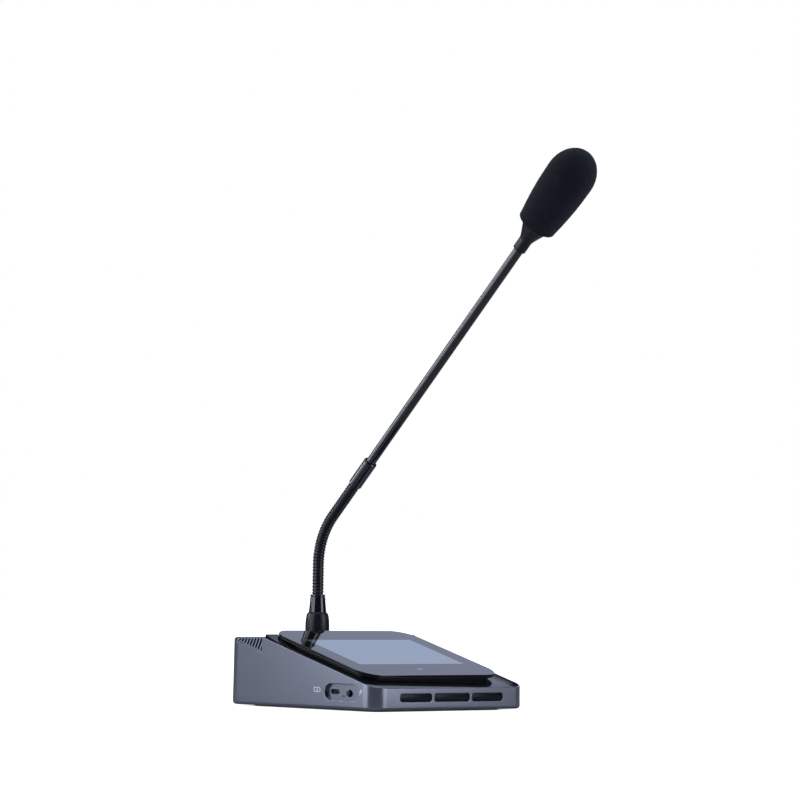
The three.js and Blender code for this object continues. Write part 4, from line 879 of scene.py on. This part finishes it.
# %% Sleeve, tube and holder
neck_end = on_neck(NECK_LENGTH + GAP)[0]
ON_ARM = at(*neck_end) @ turn(LEAN, "X")
SLEEVE, TUBE_BORE, TUBE_LOW, TUBE_TOP = 25.2, 4.1, 13.5, 252.5
HOLDER_LOW = SLEEVE + 221.3
sleeve = turned([(2.6, 0), (4.65, 0), (5.35, 0.7), (5.35, SLEEVE - 0.7), (4.65, SLEEVE), (TUBE_BORE, SLEEVE),
                 (TUBE_BORE, TUBE_LOW - GAP), (2.6, TUBE_LOW - GAP)], 72, ring=True)
piece("sleeve_turned", sleeve, lacquer, "arm", ["stem_sleeve"], ON_ARM, bevel=0.2, sharp=25)
rings = [(3.8, TUBE_LOW + (TUBE_TOP - TUBE_LOW) * n / 24) for n in range(25)]
tube = turned([(3.2, TUBE_LOW), *rings, (3.2, TUBE_TOP)], 64, ring=True)
piece("tube_drawn", tube, lacquer, "arm", ["stem_tube"], ON_ARM, bevel=0.1)

HOLDER_TOP = HOLDER_LOW + 24.5
flare = [(5.1 + 5.7 * (n / 20) ** 1.15, HOLDER_LOW + 9.5 + 13.8 * n / 20) for n in range(20)]
rim = [(radius, HOLDER_LOW + up) for radius, up in
       ((TUBE_BORE, 0), (4.9, 0), (5.1, 0.2), (5.1, 1.2), (4.9, 1.4), (4.9, 1.9), (5.1, 2.1))]
holder = turned([*rim, *flare, (10.8, HOLDER_TOP - 1.2), (10.8, HOLDER_TOP), (2.6, HOLDER_TOP),
                 (2.6, TUBE_TOP + GAP), (TUBE_BORE, TUBE_TOP + GAP)], 72, ring=True)
piece("holder_flared", holder, moulded, "arm", ["capsule_holder"], ON_ARM, bevel=0.15, sharp=30)

# %% [markdown]
# ## Foam windscreen
# The windscreen is open-cell foam, moulded over a bore that grips the capsule. Its outline is
# spun, and its skin is then pushed in and out by noise, so the silhouette is soft and slightly
# uneven as real foam is. The cells themselves are far smaller, and a material does them better.

# %% Effect: foam cells
cells, enters, leaves = effect(
    "foam cells", {"Cells per metre": 1400.0, "Colour": (0.01, 0.012, 0.02, 1.0)},
    {"Colour": "Color", "Height": "Float"})
spot = add(cells, "TexCoord")["Object"]
wobble = add(cells, "TexNoise", Vector=spot, Scale=600.0, Detail=2.0)["Color"]
warped = vectors(cells, "MULTIPLY_ADD", i0=wobble, i1=[0.0008] * 3, i2=spot)
pore = add(cells, "TexVoronoi", {"feature": "F1"}, Vector=warped[0], Scale=enters["Cells per metre"])
# The colour darkens towards each pore's middle as painted shade in the pores, and slow patches vary the
# tone.
depth = sums(cells, "SUBTRACT", 1.0, pore["Distance"], clamp=True)
wall = sums(cells, "SUBTRACT", 1.0, depth)
patches = add(cells, "TexNoise", Vector=spot, Scale=90.0, Detail=3.0)["Fac"]
shade = sums(cells, "ADD", times(cells, wall, 1.3), times(cells, patches, 0.5))
plug(leaves, Colour=scaled(cells, enters["Colour"], shade), Height=wall)


# %% Foam finish and foam piece
def foam_finish():
    material, tree, shader = plain_material("open-cell foam")
    skin = use(tree, cells, Cells_per_metre=1500.0, Colour=(0.0050, 0.0065, 0.0140, 1.0))
    relief = add(tree, "Bump", Height=skin["Height"], Strength=0.8, Distance=0.35 * MM)
    plug(shader, Base_Color=skin["Colour"], Normal=relief[0], Roughness=0.95,
         Specular_IOR_Level=0.15, Sheen_Weight=0.05, Sheen_Roughness=0.5)
    return material


FOOT_RADIUS, SIDE_LENGTH, SIDE_GROWTH, DOME_HEIGHT = 1.4, 45.9, 3.55, 23.4
foam_low, bore_top = HOLDER_TOP + GAP, HOLDER_TOP + GAP + 34.3
dome_low = foam_low + FOOT_RADIUS + SIDE_LENGTH
foot = [(13.8 + FOOT_RADIUS * sin(n * pi / 16), foam_low + FOOT_RADIUS * (1 - cos(n * pi / 16)))
        for n in range(9)]
sides = [(15.2 + SIDE_GROWTH * t + 0.9 * sin(t * pi), foam_low + FOOT_RADIUS + SIDE_LENGTH * t)
         for t in [n / 60 for n in range(1, 60)]]
dome = [(18.75 * cos(n * pi / 80), dome_low + DOME_HEIGHT * sin(n * pi / 80))
        for n in range(40)]
bore, tip = [(0, bore_top), (6.3, bore_top), (6.3, foam_low)], (0, dome_low + DOME_HEIGHT)
foam = turned([*bore, *foot, *sides, *dome, tip], 140)
for v in foam.verts:
    if v.co.z > foam_low + 1 and Vector((v.co.x, v.co.y)).length > 7 or v.co.z > bore_top + 5:
        push = noise.noise(v.co * 0.9) * 0.10 + noise.noise(v.co * 2.3) * 0.07 - 0.2
        v.co += Vector((v.co.x, v.co.y, max(v.co.z - dome_low, 0) * 0.6)).normalized() * push
foam_piece = piece("windscreen_foam", foam, foam_finish(), "arm", ["windscreen"], ON_ARM, sharp=60)

# %% [markdown]
# ## Underside
# A unit like this stands on one large anti-slip sheet that is glued to a steel bottom cover, and
# four countersunk screws hold the cover. The sheet is a thin slab, and one screw is turned, slotted
# and repeated.

# %% Anti-slip sheet and screws
pad = slab(-67, 67, -68.5, 68.5, 0, 0.8, 5)
piece("grip_sheet", pad, rubber, "base", ["antislip_pad"], bevel=0.2)


def slotted_screw(x, y):
    head = turned([(0, 1.1), (2.3, 1.1), (2.8, 1.5), (2.8, 2.5), (1.4, 2.5), (1.4, 9.1), (0, 9.1)], 36)
    return moved(cut(head, block(-3, 3, -0.4, 0.4, -1, 1.7)), at(x, y, 0))


screws = gathered([slotted_screw(x, y) for x, y in SCREWS])
screw_nodes = ["base_screw_" + place for place in ("front_left", "front_right", "rear_left", "rear_right")]
piece("cover_screws", screws, steel, "base", screw_nodes, bevel=0.08)

# %% [markdown]
# ## Carried-over CAD parts
# The parts inside keep their CAD shape, because they are plain and mostly hidden. They still get a
# real finish each: green boards with copper tracks, paper cones, steel baskets, a blue battery.


# %% Board finish
def board_finish():
    """Green solder mask over copper tracks that run along both axes."""
    material = grained("circuit board", (0.012, 0.085, 0.035), 0.38, fine_scale=1800)
    tree = material.node_tree
    place = add(tree, "TexCoord")["Object"]
    blocks = add(tree, "TexVoronoi", {"feature": "F1", "distance": "CHEBYCHEV"}, Vector=place, Scale=70.0)
    axes = add(tree, "SeparateXYZ", Vector=place)
    tracks = [use(tree, stripes, Position=axes[axis], Pitch=1.2 * MM, Share=0.35)["Mask"] for axis in "YX"]
    tone = add(tree, "SeparateXYZ", Vector=blocks["Color"])["X"]
    pick = sums(tree, "GREATER_THAN", tone, 0.5)
    overprint(material, add(tree, "Mix", i0=pick, i2=tracks[0], i3=tracks[1])[0], (0.03, 0.17, 0.06))
    return material


# %% Give each CAD part its finish
circuit = board_finish()
lit_panel = grained("display back", (0.30, 0.36, 0.45), 0.3, fine_scale=800, unevenness=0.04)
finish_of = {"display_panel": lit_panel, "display_ribbon": ribbon_film, "main_board": circuit,
             "key_board": circuit, "base_plate": steel, "battery_pack": shrink_film, "neck_nut": brass,
             "mic_capsule": steel}
finish_of |= {"speaker_" + side: steel for side in ("left", "right")}
finish_of |= {"speaker_cone_" + side: cone_paper for side in ("left", "right")}
for side in KEYS:
    finish_of |= {"switch_" + side: moulded, "switch_stem_" + side: rubber}
for name, finish in finish_of.items():
    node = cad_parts[name]
    node.data.materials.clear()
    node.data.materials.append(finish)
left_over = [n for n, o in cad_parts.items() if not o.hide_render and n not in finish_of]
print("CAD parts shown:", len(finish_of), "without a finish:", left_over)

# %% [markdown]
# ## Floor, surroundings and light
# The unit stands on a plain white floor. Two tall soft boxes light it, one at the left and one in
# front and to the right, and the space between them stays dark, which draws the dark line down the
# rounded corner. The floor is white to the camera and still keeps a soft shadow.

# %% Floor
floor_mesh = bmesh.new()
bmesh.ops.create_grid(floor_mesh, x_segments=1, y_segments=1, size=15)
floor = in_scene("floor", as_mesh("floor", floor_mesh))
floor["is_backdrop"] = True


def floor_finish():
    """Matte paper that glows for the camera alone, except under the unit, and is clear from below."""
    material, tree, shader = plain_material("white floor")
    tree.nodes.remove(shader)
    path = add(tree, "LightPath")
    grey = add(tree, "MapRange", Value=path["Is Glossy Ray"], i3=0.50, i4=0.30)[0]
    matte = add(tree, "BsdfDiffuse", Color=grey)[0]
    spot = add(tree, "TexCoord")["Object"]
    away = vectors(tree, "LENGTH", i0=spot)["Value"]
    paper = eased(tree, away, 0.1, 0.6, 0.84, 1.2)
    under = use(tree, window, Place=scaled(tree, spot, 1 / MM), Middle=(0, 0, 0), Radius=8.0, Softness=3.0,
                Half_size=(HALF_WIDTH - 12, REAR - 12, 0))["Mask"]
    open_floor = sums(tree, "SUBTRACT", 1.0, under)
    glow = times(tree, path["Is Camera Ray"], times(tree, paper, open_floor))
    lift = add(tree, "Emission", Color=(1, 1, 1, 1), Strength=glow)[0]
    seen = add(tree, "AddShader", i0=matte, i1=lift)[0]
    behind = times(tree, add(tree, "NewGeometry")["Backfacing"], path["Is Camera Ray"])
    through = add(tree, "BsdfTransparent")[0]
    result = add(tree, "MixShader", i0=behind, i1=seen, i2=through)[0]
    plug(tree.nodes["Material Output"], Surface=result)
    return material


floor.data.materials.append(floor_finish())

# %% [markdown]
# What the object mirrors matters as much as its lamps. The camera sees pure white. Polished faces
# see a pale blue grey band behind the object and a room that is dark elsewhere, as in a studio
# whose walls are out of the light. Dull faces get an even, low fill.

# %% Surroundings
world = bpy.data.worlds.new("studio")
bpy.context.scene.world = world
world.use_nodes = True
tree = world.node_tree
tree.nodes.clear()
path = add(tree, "LightPath")
look = add(tree, "TexCoord")["Generated"]
BEHIND_OBJECT = (0.696, 0.637, 0.332)
closeness = vectors(tree, "DOT_PRODUCT", i0=look, i1=BEHIND_OBJECT)["Value"]
pale = eased(tree, closeness, 0.45, 0.85)
height = add(tree, "SeparateXYZ", Vector=look)[2]
band = times(tree, eased(tree, height, 0.10, 0.27), eased(tree, height, 0.50, 0.60, 1.0, 0.0))
room = blended(tree, times(tree, pale, band), (0.020, 0.023, 0.032, 1), (0.57, 0.63, 0.85, 1))
mirrored = add(tree, "Background", Color=room)[0]
fill = add(tree, "Background", Color=(0.86, 0.90, 1.0, 1), Strength=0.45)[0]
white = add(tree, "Background", Color=(1, 1, 1, 1))[0]
lit = add(tree, "MixShader", i0=path["Is Glossy Ray"], i1=fill, i2=mirrored)[0]
plain = sums(tree, "MAXIMUM", path["Is Camera Ray"], path["Is Transmission Ray"])
add(tree, "OutputWorld", Surface=add(tree, "MixShader", i0=plain, i1=lit, i2=white)[0])


# %% Lamps
def softbox(name, azimuth, height, distance, width, tall, watts, aim=(0, 0, 0.16)):
    """A soft box at an angle from the left wall's direction towards the front."""
    a = radians(azimuth)
    light = bpy.data.lights.new(name, "AREA")
    light.shape, light.size, light.size_y, light.energy = "RECTANGLE", width, tall, watts
    light.color = (0.93, 0.96, 1.0)
    lamp = in_scene(name, light)
    lamp.location = (-cos(a) * distance, -sin(a) * distance, height)
    lamp.rotation_euler = (Vector(aim) - lamp.location).to_track_quat("-Z", "Y").to_euler()
    lamp.visible_camera = False


softbox("left box", -21, 0.40, 0.95, 0.78, 1.0, 7.3)
softbox("right box", 114, 0.40, 0.95, 0.62, 1.0, 5.8)
# A strip from behind draws a line of light along the stem, and a wide box overhead softens it all
softbox("edge strip", -58, 0.45, 1.10, 0.14, 0.5, 3.0, aim=(0, 0, 0.3))
softbox("top box", 60, 2.2, 0.15, 1.6, 1.6, 16)

# %% [markdown]
# ## Camera
# The camera stands where the photograph was taken from: 2.7 m away at the front left corner, a
# little above the desk, with a long lens. Its numbers come from a fit.

# %% Camera
ROLL = radians(0.918)
PICTURE = 800
lens = bpy.data.cameras.new("camera")
lens.lens, lens.sensor_width, lens.sensor_fit = 157.39, 36.0, "AUTO"
lens.shift_x, lens.shift_y = -0.6 / PICTURE, -0.1 / PICTURE
lens.clip_end = 100
camera = in_scene("camera", lens)
camera.location = (-1.8782, -1.9536, 0.0928)
towards = Vector((-0.6961, -0.7160, -0.0536)).normalized()
right = Vector((0.7170, -0.6971, 0)).normalized()
up = towards.cross(right)
x_axis = right * cos(ROLL) + up * sin(ROLL)
y_axis = up * cos(ROLL) - right * sin(ROLL)
camera.rotation_mode = "QUATERNION"
camera.rotation_quaternion = Matrix((x_axis, y_axis, towards)).transposed().to_quaternion()
bpy.context.scene.camera = camera
bpy.context.scene.view_settings.view_transform = "Standard"

# %% [markdown]
# ## Size
# The dressed model should be the size of its CAD frame. The last line prints the size of what is shown.

# %% Sizes, and the end
low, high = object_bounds()
print("visual size in mm:", [round(1000 * side, 2) for side in high - low])
